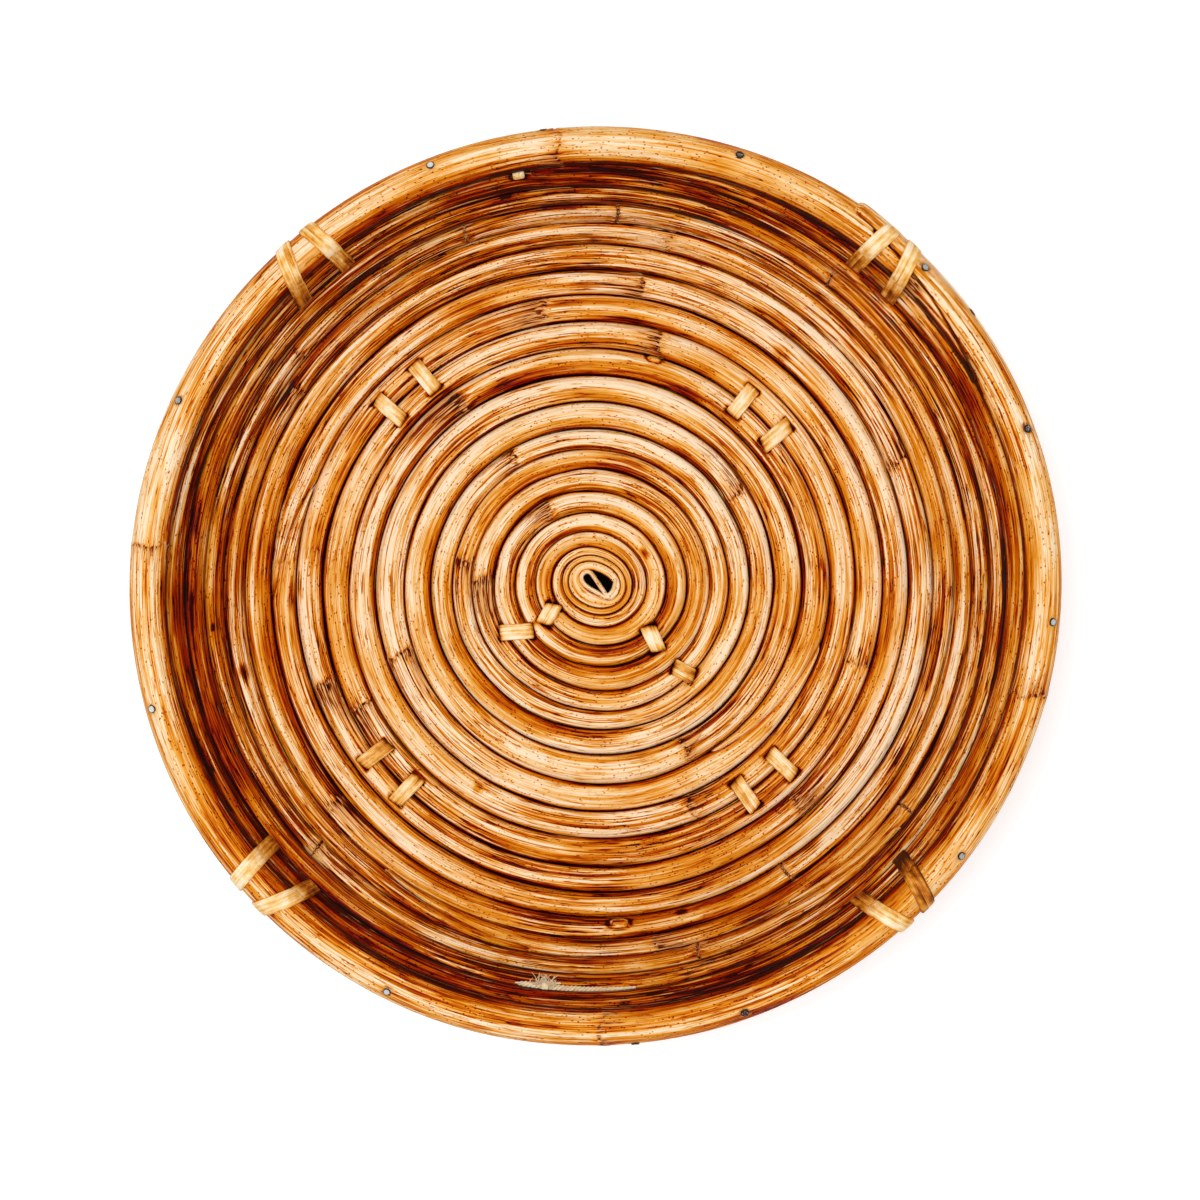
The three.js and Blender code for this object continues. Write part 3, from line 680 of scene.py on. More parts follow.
def cane_material():
    shader = new_shader("cane_skin")
    fibre = shader.attribute("fibre", "Vector")
    tone, stain, contrast = (shader.attribute(name) for name in ("tone", "stain", "contrast"))
    streak = shader.grain(fibre, (0.022, 1.1, 1.1), 2, 0.6)
    hair = shader.grain(fibre, (0.05, 2.0, 2.0), 1, 0.5)
    broad = shader.grain(fibre, (0.009, 0.42, 0.42), 2, 0.5)
    blotch = shader.grain(fibre, (0.045, 0.16, 0.16), 4, 0.6)
    scratch = shader.grain(fibre, (0.13, 1.7, 1.7), 2, 0.5)
    split = shader.grain(fibre, (0.013, 0.9, 0.9), 1, 0.5)
    speck = shader.specks(fibre, (0.55, 0.85, 0.85))
    dash = shader.specks(fibre, (0.24, 0.95, 0.95))
    near_edge = shader.step(tone, 0.95, 0.35)
    splits = shader.step(shader.math("ABSOLUTE", split), 0.022, 0.004)
    scratches = shader.step(shader.weighted((scratch, 1.0), (near_edge, 0.06)), 0.10, 0.20)
    dots = shader.math("MULTIPLY", shader.step(speck, 0.24, 0.13), shader.step(blotch, -0.10, 0.04))
    dashes = shader.math("MULTIPLY", shader.step(dash, 0.22, 0.12), shader.step(scratch, -0.02, 0.06))
    grain = shader.weighted((streak, 1.55), (hair, 1.05), (broad, 1.2), (splits, -0.36), (scratches, -0.44))
    grain = shader.math("MULTIPLY", grain, contrast)
    value = shader.weighted((tone, 1.0), (grain, 1.0), (blotch, 0.65), (dots, -0.48), (dashes, -0.42))
    grime = shader.weighted((stain, 1.0), (streak, 1.9), (hair, 1.3), (scratch, 1.3), (blotch, 0.9))
    soil = shader.weighted((streak, 1.6), (scratch, 1.0), (hair, 1.7), (0.5, 1.0))
    covered = shader.step(grime, 0.38, 0.62)
    relief = shader.weighted((streak, 1.0), (hair, 0.7), (scratches, -0.5), (dots, -0.3), (splits, -0.5))
    return shader.finish(
        Base_Color=shader.mix(covered, shader.ramp(value, CANE_RAMP), shader.ramp(soil, GRIME_RAMP)),
        Roughness=shader.math("MULTIPLY_ADD", streak, 0.5, 0.42),
        Normal=shader.bump(relief, 0.6, 0.22),
        Specular_IOR_Level=0.06,
        Specular_Tint=VARNISH_TINT,
    )


def strap_material():
    shader = new_shader("peel_strap")
    fibre = shader.attribute("fibre", "Vector")
    fine = shader.grain(fibre, (0.06, 3.6, 1.2), 5, 0.6)
    broad = shader.grain(fibre, (0.03, 1.2, 0.6), 2, 0.5)
    blotch = shader.grain(fibre, (0.24, 0.35, 0.35), 4, 0.6)
    value = shader.weighted((shader.attribute("tone"), 1.0), (fine, 0.9), (broad, 0.6), (blotch, 1.1))
    return shader.finish(
        Base_Color=shader.ramp(value, STRAP_RAMP),
        Roughness=shader.math("MULTIPLY_ADD", fine, 0.4, 0.46),
        Normal=shader.bump(shader.weighted((fine, 1.2), (broad, 0.6)), 0.35, 0.12),
        Specular_IOR_Level=0.10,
    )


def nail_material():
    shader = new_shader("dull_steel")
    tone = shader.attribute("tone")
    rust = shader.noise(shader.attribute("fibre", "Vector"), (1.6, 1.6, 1.6), 4, 0.6)
    spots = shader.step(shader.weighted((rust, 1.0), (tone, -0.18)), 0.34, 0.50)
    # Painted sheen: the steel is painted brighter where the tone is high, in the middle of the shinier nails
    metal = shader.mix(shader.step(tone, 0.9, 1.9), DULL_STEEL, SHEEN_STEEL)
    return shader.finish(
        Base_Color=shader.mix(spots, metal, RUST),
        Metallic=shader.step(spots, 0.0, 1.0, 0.85, 0.25),
        Roughness=shader.math("MULTIPLY_ADD", rust, 0.4, 0.25),
        Normal=shader.bump(rust, 0.4, 0.08),
        Specular_IOR_Level=0.2,
    )


def string_material():
    shader = new_shader("cotton_string")
    fibre = shader.attribute("fibre", "Vector")
    lint = shader.noise(fibre, (1.2, 5.0, 5.0), 4, 0.65)
    dirt = shader.noise(fibre, (0.25, 0.8, 0.8), 3, 0.6)
    return shader.finish(
        Base_Color=shader.ramp(shader.weighted((lint, 0.7), (dirt, 0.5)), STRING_RAMP),
        Roughness=0.9,
        Normal=shader.bump(lint, 0.6, 0.12),
    )


CANE = cane_material()
STRAP = strap_material()
NAIL = nail_material()
STRING = string_material()


def set_camera():
    data = bpy.data.cameras.new("camera")
    data.sensor_width = SENSOR_WIDTH
    data.lens = CAMERA_LENS
    camera = link(bpy.data.objects.new("camera", data))
    camera.location = CAMERA_PLACE
    bpy.context.scene.camera = camera


def strand_tube(path, radii, sides, twist=0.0, offset=0.0, start=0.0):
    """A thin tube that winds round a path at an offset from it."""
    ahead = directions(path)
    side = unit(np.cross(ahead, UP))
    rise = np.cross(side, ahead)
    along = lengths_along(path)[:, None]
    spin = start + along * twist
    centre = path + (np.cos(spin) * side + np.sin(spin) * rise) * np.reshape(offset, (-1, 1))
    across, up = radii[:, None] * np.cos(circle(sides)), radii[:, None] * np.sin(circle(sides))
    rings = centre[:, None] + across[..., None] * side[:, None] + up[..., None] * rise[:, None]
    return rings, {"fibre": as_vectors(along, across + start, up)}


def knot_tubes(path):
    """The knot of the string: two wraps, a tuft and loose hairs."""
    knot_share = (STRING_KNOT_TURN - STRING_TURNS[0]) / (STRING_TURNS[1] - STRING_TURNS[0])
    at = int(knot_share * (len(path) - 1))
    middle, ahead = path[at], directions(path)[at]
    inward = unit(np.array([-middle[0], -middle[1], 0.0]))
    lift = np.cross(ahead, np.cross(UP, ahead))
    tubes = []
    angle = np.linspace(0, TAU * KNOT_WRAP_TURNS, KNOT_WRAP_STEPS)[:, None]
    for shift, radius in KNOT_WRAPS:
        wrap = np.cos(angle) * radius * np.cross(ahead, lift) + np.sin(angle) * radius * lift
        pitch = np.linspace(shift, shift + KNOT_WRAP_PITCH, KNOT_WRAP_STEPS)[:, None]
        radii = np.full(KNOT_WRAP_STEPS, STRAND_RADIUS)
        tubes.append(strand_tube(middle + wrap + pitch * ahead, radii, STRAND_SIDES))
    share = np.linspace(0, 1, TUFT_STEPS)[:, None]
    far, deep, high = TUFT_REACH
    tuft = middle + share * far * ahead + (1 - (1 - share) ** 2) * deep * inward + high * lift
    tubes.append(strand_tube(tuft, np.linspace(0.75, 0.25, TUFT_STEPS), TUFT_SIDES))
    random = np.random.default_rng(5)
    share = np.linspace(0, 1, HAIR_STEPS)[:, None]
    for _ in range(HAIR_COUNT):
        root = middle + random.uniform(-2.4, 3.4) * ahead + random.uniform(-0.4, 0.9) * lift
        reach = random.uniform(1.5, 6.2)
        curl = random.uniform(-2.6, 2.6)
        swing = random.uniform(-3.4, 2.4)
        hair = root + share * reach * inward * 0.8 + share * swing * ahead + share * 0.9 * lift
        hair = hair + np.sin(share * 3.4) * curl * ahead * 0.6 + np.sin(share * 2.2) * 0.5 * lift
        tubes.append(strand_tube(hair, np.linspace(0.15, 0.08, HAIR_STEPS), HAIR_SIDES))
    return tubes


def add_string():
    """Three twisted strands in the groove of two rounds, thinner to one end, with a frayed knot."""
    turns = np.linspace(*STRING_TURNS, STRING_STEPS)
    path = wall_point(turns, coil_edge(turns), STRING_SEAT, half_height(turns))
    share = np.linspace(0, 1, STRING_STEPS)
    taper = smooth(share, -0.03, 0.10) * (1 - STRING_THINNING * smooth(share, 0.45, 1.0))
    taper = taper * (1 + 0.12 * value_noise(share * 16, 6))
    radii, offset = STRAND_RADIUS * taper, STRAND_OFFSET * taper
    strands = [
        strand_tube(path, radii, STRAND_SIDES, STRAND_TWIST, offset, start)
        for start in circle(STRAND_COUNT)
    ]
    string = stand_in(tube_object("string_strands", strands, STRING), "string")
    knot = stand_in(tube_object("string_knot_fray", knot_tubes(path), STRING), "string_knot")


def splice_place(turn, splice):
    """Where the slanting joint between two lengths of cane runs across them, from -1 to 1."""
    return -1 + 2 * (turn - splice[0]) / (splice[1] - splice[0])


def stations(first, last, marks):
    """Lengths along a cane at which it has a ring, closer together near its marks, as a column."""
    even = np.linspace(first, last, max(2, int((last - first) / RING_STEP)))
    close = np.arange(-FINE_REACH, FINE_REACH + FINE_STEP / 2, FINE_STEP)
    both = np.concatenate([even, *[mark + close for mark in marks if first < mark < last]])
    both = np.unique(np.round(both[(both >= first) & (both <= last)], 2))
    return both[np.concatenate([[True], np.diff(both) > LEAST_STEP])][:, None]


def near_angle(turn, angle, low=0.4, high=0.95):
    """1 at an angle round the bowl, in degrees, falling to 0 on both sides of it."""
    return smooth(np.cos(TAU * turn - math.radians(angle)), low, high)


def dryness(along):
    """How dry and scratched a length of cane is, from 0 for a glossy skin to 1."""
    return smooth(layered(along, DRY_LAYERS), -0.45, 0.45)


def cane_tone(along, around, turn, section_place):
    """How pale the skin is: a band along the outer half, partly a painted highlight, with painted shade at
    its edges; paler and darker lengths; painted shade on the wall and its top; painted light and shade by
    side of the bowl and on lengths of the top rounds.
    """
    across = np.cos(around)
    place = np.clip(across - layered(along, DRIFT_LAYERS) * (1 - across**2), -1, 1)
    on_wall = smooth(section_place, *WALL_PLACES)
    flat_tone = np.interp(place, BAND_PLACES, BAND_TONES)
    tone = flat_tone + on_wall * (np.interp(place, BAND_PLACES, WALL_BAND_TONES) - flat_tone)
    tone = tone + layered(along, TONE_LAYERS) + 0.11 * fibre_noise(along, around, TONE_CELLS)
    # Painted light and shade on the two sides of the bowl
    shaded_side = 1 - near_angle(turn, LIT_SIDE_ANGLE, 0.2)
    side_shade = DARK_SIDE_SHADE * shaded_side - LIT_SIDE_LIFT * (1 - shaded_side)
    # Painted shade on the wall and its top
    tone = tone - WALL_SHADE * on_wall - TOP_SHADE * smooth(section_place, *TOP_PLACES)
    tone = tone - side_shade * smooth(section_place, *SIDE_PLACES)
    # Painted shade and light on lengths of the top rounds
    for angle, change in TOP_LENGTHS:
        near = near_angle(turn, angle, 0.75, 0.97)
        tone = tone + change * near * smooth(section_place, *TOP_LENGTH_PLACES)
    return tone


def blank(along, around, count):
    """Zeros over the grid of a cane's surface, as often as asked."""
    return [np.zeros(np.broadcast(along, around).shape) for _ in range(count)]


def scar_marks(along, around, scars):
    """Leaf scars: stain, relief, how far the skin beyond is combed into fibres, and a darker collar."""
    stain, relief, comb, darker = blank(along, around, 4)
    for index, (place, strength, reach) in enumerate(scars):
        ragged = 0.8 * value_noise(around * 2.6 + 11 * index, 35)
        ragged = ragged + 0.5 * value_noise(around * 7 + 5 * index, 36)
        bend = 0.7 * np.sin(around + index) + 0.4 * np.sin(3 * around + 2 * index)
        off = along - place - bend - ragged
        side = 0.75 + 0.35 * np.cos(2 * around + index * 1.7)
        fibres = 1 + 0.65 * value_noise(around * 6 + 17 * index, 37)
        broken = smooth(value_noise(around * 4 + 7 * index, 38), -0.5, 0.3)
        beyond = np.exp(-np.maximum(off, 0) / (SCAR_SPREAD * reach * fibres)) * smooth(off, -0.6, 0.2)
        collar = np.exp(-np.maximum(-off, 0) / (1.6 * fibres)) * smooth(off, 1.2, 0.0)
        line = bell(off + 0.3, 0.45) * broken
        stain = np.maximum(stain, strength * (1.08 * side * beyond + 0.70 * collar * side + 0.8 * line))
        comb = np.maximum(comb, strength * beyond)
        band = np.exp(-np.abs(off) / (1.5 + 1.3 * fibres * (off > 0)))
        darker = np.maximum(darker, SCAR_COLLAR * strength * side * band)
        relief = relief + 0.42 * strength * bell(off, 2.3) - 0.40 * line
    return stain, relief, comb, darker


def crack_marks(along, around, cracks):
    """Cracks across a cane: stain and relief."""
    stain, relief = blank(along, around, 2)
    for index, place in enumerate(cracks):
        off = along - place - 0.5 * np.sin(2 * around + index * 2.3)
        line = bell(off, 0.36)
        stain = np.maximum(stain, 1.6 * line + 0.48 * np.exp(-np.abs(off) / 3.0))
        relief = relief - 1.5 * line + 0.45 * bell(off, 3.0)
    return stain, relief


def knot_marks(along, around, half):
    """Knots and dark patches: relief of the knots, and how much darker all of them make the skin."""
    relief, darker = blank(along, around, 2)

    def distance(turn, degrees, length, width):
        across = (around - math.radians(degrees)) * half
        return np.hypot((along - length_at(turn)) / length, across / width)

    for *spot, height in KNOTS:
        off = distance(*spot)
        ring = bell(off - 1.1, 0.16)
        relief = relief + height * smooth(off, 1.1, 0.45) - 0.3 * ring
        darker = np.maximum(darker, 0.7 * ring)
    for *spot, darkness in PATCHES:
        darker = np.maximum(darker, darkness * smooth(distance(*spot), 1.3, 0.3))
    return relief, darker


def section_shape(around, squareness):
    """A rounded section: a circle for 2, squarer for more."""
    across, rise = np.cos(around), np.sin(around)
    power = 2 / squareness
    return np.sign(across) * np.abs(across) ** power, np.sign(rise) * np.abs(rise) ** power


def end_taper(along, length):
    """Rounds off the two ends of a cane."""
    share = np.clip(np.minimum(along - along[0], along[-1] - along) / length, 0, 1)
    return np.sqrt(np.clip(1 - (1 - share) ** 2, 0.004, 1))


def strap_pits(points):
    """How near each point is to a slit that a strap goes down into, from 0 to 1."""
    near = np.zeros(points.shape[:-1])
    for middle, outward, sideways in SLITS:
        reach = points - middle
        across = np.abs(reach @ outward)
        beside = np.maximum(0, np.abs(reach @ sideways) - STRAP_WIDTH / 2) / 0.7
        near = np.maximum(near, np.exp(-(across**2) - beside**2) * (np.abs(reach[..., 2]) < 6.0))
    return near


def peg_middle():
    return wall_point(math.floor(COIL_END) + PEG_ANGLE / 360, TOP_EDGE, 0.0, WALL_HEIGHT)


def peg_hole(points):
    """How near each point is to the edge of the hole that the peg sits in, from 0 to 1, where the skin is
    painted dark as shade.
    """
    up, out, around = rim_axes(PEG_ANGLE / 360)
    reach = points - peg_middle()
    above = np.maximum(0, np.abs(reach @ up) - PEG_SIZE[0] / 2)
    beside = np.maximum(0, np.abs(reach @ around) - PEG_SIZE[2] / 2)
    return bell(np.hypot(above, beside), PEG_HOLE_REACH) * (np.abs(reach @ out) < PEG_SIZE[1] / 2)


def core_fill(turn):
    """How far the innermost round reaches in, past its edge, to the slot that the fold leaves open."""
    corners = np.array(CORE_SLOT + CORE_SLOT[:1])
    share = np.linspace(0, 1, 12, endpoint=False)[:, None, None]
    outline = (corners[:-1] * (1 - share) + corners[1:] * share).reshape(-1, 2)
    angles = np.arctan2(outline[:, 1], outline[:, 0]) % TAU
    order = np.argsort(angles)
    angle = TAU * turn % TAU
    slot = np.interp(angle, angles[order], np.hypot(*outline.T)[order], period=TAU)
    oval = OVAL_SIZE * np.cos(2 * (angle - OVAL_ANGLE))
    depth = coil_edge(turn - 1) + oval - slot - FOLD_THICKNESS * 0.75
    return np.maximum(0, depth) * smooth(turn, 1.95, 1.75)


def coil_tube(start, end):
    """One length of cane of the coil, between the splices at its start and its end, if it has them."""
    first = start[0] + SPLICE_TRIM * (start[1] - start[0]) if start else FOLD_JOIN_TURN
    last = end[1] - SPLICE_TRIM * (end[1] - end[0]) if end else TOP_TIP
    marked_turns = [mark[0] for mark in SCARS + KNOTS] + CRACKS + SLIT_TURNS
    along = stations(float(length_at(first)), float(length_at(last)), length_at(marked_turns))
    turn = turn_at(along)
    around = circle(CANE_SIDES)[None]

    # Its two edges, where it lies between them, and its section
    inner = wavy_edge(turn - 1) + VISIBLE_GAP / 2 - core_fill(turn)
    outer = wavy_edge(turn) - VISIBLE_GAP / 2
    past_tip = smooth(turn, *FILL_TURNS) * (turn <= COIL_END - 1)
    width = outer + past_tip * np.maximum(0, TOP_EDGE - outer) - inner
    low = np.clip(splice_place(turn, end) - SPLICE_LAP, -1, SPLICE_REACH) if end else -1.0
    high = np.clip(splice_place(turn, start) + SPLICE_LAP, -SPLICE_REACH, 1) if start else 1.0
    middle = inner + width * ((low + high) / 2 + 1) / 2
    taper = end_taper(along, CANE_END_LENGTH)
    if not start:
        taper = np.minimum(1, taper + (along < along[0] + 3 * CANE_END_LENGTH))
    half = width * (high - low) / 4 * taper
    height = half_height(turn)
    deep = height * (0.35 + 0.65 * taper)
    across, rise = section_shape(around, SQUARENESS + CORE_SQUARENESS * smooth(turn, *CORE_SQUARE_TURNS))

    # Its scars, cracks, knots and ridges
    scars = [(length_at(mark), strength, reach) for mark, strength, reach in SCARS]
    stain, relief, comb, collar = scar_marks(along, around, scars)
    crack_stain, crack_relief = crack_marks(along, around, length_at(CRACKS))
    knot_relief, darker = knot_marks(along, around, half)
    ridges = RIDGE_DEPTH * (0.6 + 0.9 * smooth(middle, *RIDGE_PLACES))
    relief = relief + crack_relief + knot_relief + ridges * fibre_noise(along, around, RIDGE_CELLS)
    relief = relief + FACET_DEPTH * fibre_noise(along, around, FACET_CELLS)
    relief = relief * np.minimum(1, half / 3)
    crown = CROWN * taper * smooth(turn, *CROWN_TURNS)
    depth = rise * (deep + crown * (rise > 0)) + relief * np.sin(around)
    depth = np.maximum(depth, -height)
    section_place = middle + half * across + relief * np.cos(around) * 0.5
    pits = strap_pits(wall_point(turn, section_place, depth, height)) * (np.sin(around) > 0)
    points = wall_point(turn, section_place, depth - PIT_DEPTH * pits, height)

    # Its colours
    tone = cane_tone(along, around, turn, middle) - np.maximum(darker, collar)
    # Painted shade on the sides of the rounds near the core, down in the grooves between them
    groove = CORE_GROOVE * smooth(np.abs(np.cos(around)), 0.58, 0.97) * smooth(turn, *CORE_GROOVE_TURNS)
    tone = tone - groove - CORE_SHADE * smooth(turn, *CORE_SHADE_TURNS)
    # Painted shade in the slits that straps go into and round the peg's hole
    tone = tone - HOLE_SHADE * np.maximum(pits, peg_hole(points))
    contrast = GLOSSY_CONTRAST + DRY_CONTRAST * dryness(along)
    contrast = contrast * (1 + WALL_CONTRAST * smooth(middle, *WALL_CONTRAST_PLACES))
    contrast = contrast * (1 - OUTSIDE_CALM * smooth(-np.sin(around), 0.0, 0.5)) + COMB_CONTRAST * comb
    fibre = as_vectors(along, half * across, depth)
    stain = np.maximum(stain, crack_stain)
    return points, {"fibre": fibre, "tone": tone, "stain": stain, "contrast": contrast}


def smooth_path(corners, steps):
    """A smooth curve through points, with even steps along it."""
    points = np.array(corners, float)
    padded = np.concatenate([2 * points[:1] - points[1:2], points, 2 * points[-1:] - points[-2:-1]])
    share = np.linspace(0, 1, 24, endpoint=False)[:, None]
    pieces = []
    for a, b, c, d in zip(padded, padded[1:], padded[2:], padded[3:]):
        square = (2 * a - 5 * b + 4 * c - d) * share**2
        cube = (3 * b - a - 3 * c + d) * share**3
        pieces.append(0.5 * (2 * b + (c - a) * share + square + cube))
    fine = np.concatenate([*pieces, points[-1:]])
    along = lengths_along(fine)
    at = np.linspace(0, along[-1], steps)
    return as_vectors(*[np.interp(at, along, values) for values in fine.T])


def fold_tube():
    """The shaved start of the inner cane, standing on edge along its fold."""
    join_along = (coil_edge(FOLD_JOIN_TURN - 1) + coil_edge(FOLD_JOIN_TURN)) / 2
    join = wall_point(FOLD_JOIN_TURN, join_along, 0, 0)[:2]
    path = smooth_path([(x, y + CORE_OFFSET) for x, y in FOLD_POINTS] + [tuple(join)], FOLD_RINGS)
    ahead = directions(path)
    side = as_vectors(ahead[:, 1], -ahead[:, 0])
    across, rise = section_shape(circle(CANE_SIDES)[None], 3.0)
    deep = float(half_height(FOLD_JOIN_TURN))
    share = np.linspace(0, 1, FOLD_RINGS)[:, None]
    taper = np.sqrt(np.clip(1 - (1 - np.clip(share / 0.02, 0, 1)) ** 2, 0.05, 1))
    half = FOLD_THICKNESS / 2 * taper
    level = deep + rise * (deep + (0.3 + 0.25 * value_noise(share * 9, 41)) * (rise > 0))
    flat = path[:, None] + side[:, None] * (half * across)[..., None]
    points = as_vectors(flat[..., 0], flat[..., 1], level)
    along = (share - 1) * lengths_along(path)[-1] + length_at(FOLD_JOIN_TURN)
    zero = np.zeros(level.shape)
    # The fold's lower side is painted darker, as shade down in the slot; its edges are a little darker
    tone = zero + 1.0 - 0.14 * smooth(np.abs(across), 0.9, 1.0) - 0.6 * smooth(-rise, -0.1, 0.6)
    fibre = as_vectors(along, half * across, level - deep)
    return points, {"fibre": fibre, "tone": tone, "stain": zero, "contrast": zero + 0.4}


def add_canes():
    names = ["inner_cane", "base_cane", "wall_cane_lower", "wall_cane_middle", "wall_cane_upper"]
    for node, start, end in zip(names, [None, *SPLICES], [*SPLICES, None]):
        rings, values = coil_tube(start, end)
        if not start:
            fold, fold_values = fold_tube()
            rings = np.concatenate([fold[:-1], rings])
            values = {key: np.concatenate([fold_values[key][:-1], values[key]]) for key in values}
        stand_in(tube_object(f"{node}_skin", [(rings, values)], CANE), node)


def rim_seam(angle):
    """Where the seam between the rim's lapped ends runs across it, from -1 inside to 1 outside."""
    return np.interp(angle, RIM_SEAM_ANGLES, RIM_SEAM_PLACES)


def nail_seat(angle, lean):
    """Where a nail's head sits on the rim, and the direction that it was driven from."""
    up, out, _ = rim_axes(angle / 360)
    axis = up * math.cos(lean) + out * math.sin(lean)
    return rim_point(angle / 360, 0.0, 0.0) + axis * (RIM_HALF + NAIL_LIFT), axis


def nail_rust(points):
    """Stain on the rim close to each nail."""
    seats = [nail_seat(*place)[0] for place in NAIL_PLACES]
    nearest = np.min([np.linalg.norm(points - seat, axis=-1) for seat in seats], axis=0)
    return NAIL_RUST * bell(nearest, NAIL_RUST_REACH)


def add_rim():
    """The thick cane on top, its two ends lapped side by side along a slanting seam."""
    round_length = TAU * float(np.hypot(*rim_point(0.0, 0.0, 0.0)[:2]))
    first, last = RIM_INNER_END / 360 + RIM_END_TRIM, 1 + RIM_OUTER_TIP / 360
    marks = [mark[0] * round_length for mark in RIM_SCARS]
    marks += [angle / 360 * round_length for angle in [*NAIL_ANGLES, RIM_TORN_ANGLE]]
    along = stations(first * round_length, last * round_length, marks)
    turn = along / round_length
    around = circle(RIM_SIDES)[None]

    # The part of the round section that it takes up, and its raised tip
    on_lap = turn > 1
    low = np.where(on_lap, rim_seam(360 * (turn - 1)), -1.0)
    full = smooth(360 * turn, *RIM_FULL_ANGLES)
    high = np.where(on_lap, 1.0, rim_seam(360 * turn) * (1 - full) + full)
    taper = end_taper(along, RIM_END_LENGTH)
    across, rise = section_shape(around, 2.15)
    level = across * math.cos(RIM_LEAN) + rise * math.sin(RIM_LEAN)
    plumb = (rise * math.cos(RIM_LEAN) - across * math.sin(RIM_LEAN)) * (0.5 + 0.5 * taper)
    cut = np.clip(level, low + 0.02, high - 0.02)
    cut = (low + high) / 2 + (cut - (low + high) / 2) * taper
    tip = smooth(360 * (turn - 1), RIM_TIP_START, RIM_OUTER_TIP)

    # Its scars, ridges and torn spot
    scars = [(place * round_length, strength, reach) for place, strength, reach in RIM_SCARS]
    stain, relief, comb, collar = scar_marks(along, around, scars)
    relief = relief + RIDGE_DEPTH * fibre_noise(along, around, RIM_RIDGE_CELLS)
    relief = relief + FACET_DEPTH * fibre_noise(along, around, RIM_FACET_CELLS)
    torn = bell(along - RIM_TORN_ANGLE / 360 * round_length, RIM_TORN_LENGTH) * (high < 1)
    radius = RIM_DIAMETER / 2 + RIM_FULLNESS
    outward = radius * (cut * math.cos(RIM_LEAN) - plumb * math.sin(RIM_LEAN))
    outward = outward + RIM_TIP_OUT * tip + relief * np.cos(around)
    up = radius * (cut * math.sin(RIM_LEAN) + plumb * math.cos(RIM_LEAN))
    up = up + RIM_TIP_RISE * tip + relief * np.sin(around)
    up = up + torn * (0.5 * fibre_noise(along, around, TORN_CELLS) - 0.3)
    points = rim_point(turn, outward, up)

    # Its colours
    # Painted light and shade: pale over the rim's top, dark down its inner side, with lit lengths on that
    # side
    facing = np.cos(around - RIM_LEAN)
    place = np.clip(facing - layered(along, RIM_DRIFT_LAYERS) * (1 - facing**2), -1, 1)
    tone = np.interp(place, RIM_BAND_PLACES, RIM_BAND_TONES) - RIM_SHADE
    for angle, change in RIM_LENGTHS:
        tone = tone + change * near_angle(turn, angle)
    for angle, lift in RIM_LIT_LENGTHS:
        tone = tone + lift * near_angle(turn, angle) * smooth(facing, 0.1, -0.7)
    tone = tone + layered(along, RIM_TONE_LAYERS) + 0.07 * fibre_noise(along, around, RIM_TONE_CELLS)
    # A dark line along the seam is painted shadow of the lapped end; scars and the torn spot are darker too
    from_seam = np.minimum(np.where(low > -1, cut - low, 1), np.where(high < 1, high - cut, 1))
    tone = tone - 0.8 * collar - 0.5 * torn - 0.9 * bell(from_seam, RIM_SEAM_WIDTH)
    # Its ends are darker and its raised tip paler; painted shade darkens it round the peg's hole
    tone = tone - 0.5 * smooth(taper, 0.5, 0.15) + 0.08 * tip - HOLE_SHADE * peg_hole(points)
    stain = np.maximum(np.maximum(stain, nail_rust(points)), 0.95 * torn)
    contrast = 0.48 + 0.36 * dryness(along + RIM_FIBRE_START) + 0.9 * comb + 0.8 * torn
    fibre = as_vectors(along, RIM_DIAMETER / 2 * across, up + RIM_FIBRE_RISE)
    values = {"fibre": fibre, "tone": tone, "stain": stain, "contrast": contrast}
    stand_in(tube_object("rim_cane_skin", [(points, values)], CANE), "rim_cane")


def add_strap(node, path, sideways, outward, dark, seed, fullness, slant=(0, 0, 0)):
    """A flat strip of peel bent along a closed path; dark is 1 where it goes down into a slit, and there it
    is painted darker as shade.

    The slant is how far one edge of the strip is ahead of its middle.
    """
    across, thick = np.array(STRAP_SECTION).T[:, None]
    along = lengths_along(path)[:, None]
    half = STRAP_WIDTH / 2 * (fullness + 0.035 * value_noise(along / 4, seed))
    lift = 0.06 * value_noise(along / 7, seed + 1)
    rings = (
        path[:, None]
        + sideways[:, None] * (half * across)[..., None]
        + np.array(slant) * across[..., None]
        + outward[:, None] * (STRAP_THICKNESS * thick + lift * across)[..., None]
    )
    along = along + 37.0 * seed
    crease = 0.7 * value_noise(np.array([seed * 1.37]), 33)
    tone = STRAP_TONE - 0.16 * bell(across - crease, 0.05) - 0.22 * smooth(np.abs(across), 0.92, 1.0)
    tone = tone - 0.55 * dark[:, None] - WORN_STRAPS.get(node, 0.0)
    tone = tone + 0.08 * value_noise(along / 5, seed + 2) + 0.05 * value_noise(across * 3 + 7, seed + 3)
    values = {"fibre": as_vectors(along, half * across, thick), "tone": tone}
    stand_in(tube_object(f"{node}_peel", [(rings, values)], STRAP, closed=True), node)


def rounded_loop(reach, bottom, top, corner, crown):
    """A closed loop with round corners, its upper run crowned: distances along and heights."""
    bends = [
        (reach - corner, bottom + corner, -90),
        (reach - corner, top - corner, 0),
        (-reach + corner, top - corner, 90),
        (-reach + corner, bottom + corner, 180),
    ]
    points = []
    for x, z, start in bends:
        for angle in np.radians(start + np.linspace(0, 90, 9)):
            points.append((x + corner * math.cos(angle), z + corner * math.sin(angle)))
        if start == 0:
            for share in np.linspace(0, 1, 18)[1:-1]:
                points.append(((reach - corner) * (1 - 2 * share), top + crown * 4 * share * (1 - share)))
    return np.array(points)


def round_under(x, y):
    """The turn of the coil's round that passes under a point of the floor."""
    turn = (math.atan2(y, x) / TAU) % 1
    while np.hypot(*wall_point(turn, coil_edge(turn), 0, 0)[:2]) < math.hypot(x, y):
        turn += 1
    return turn


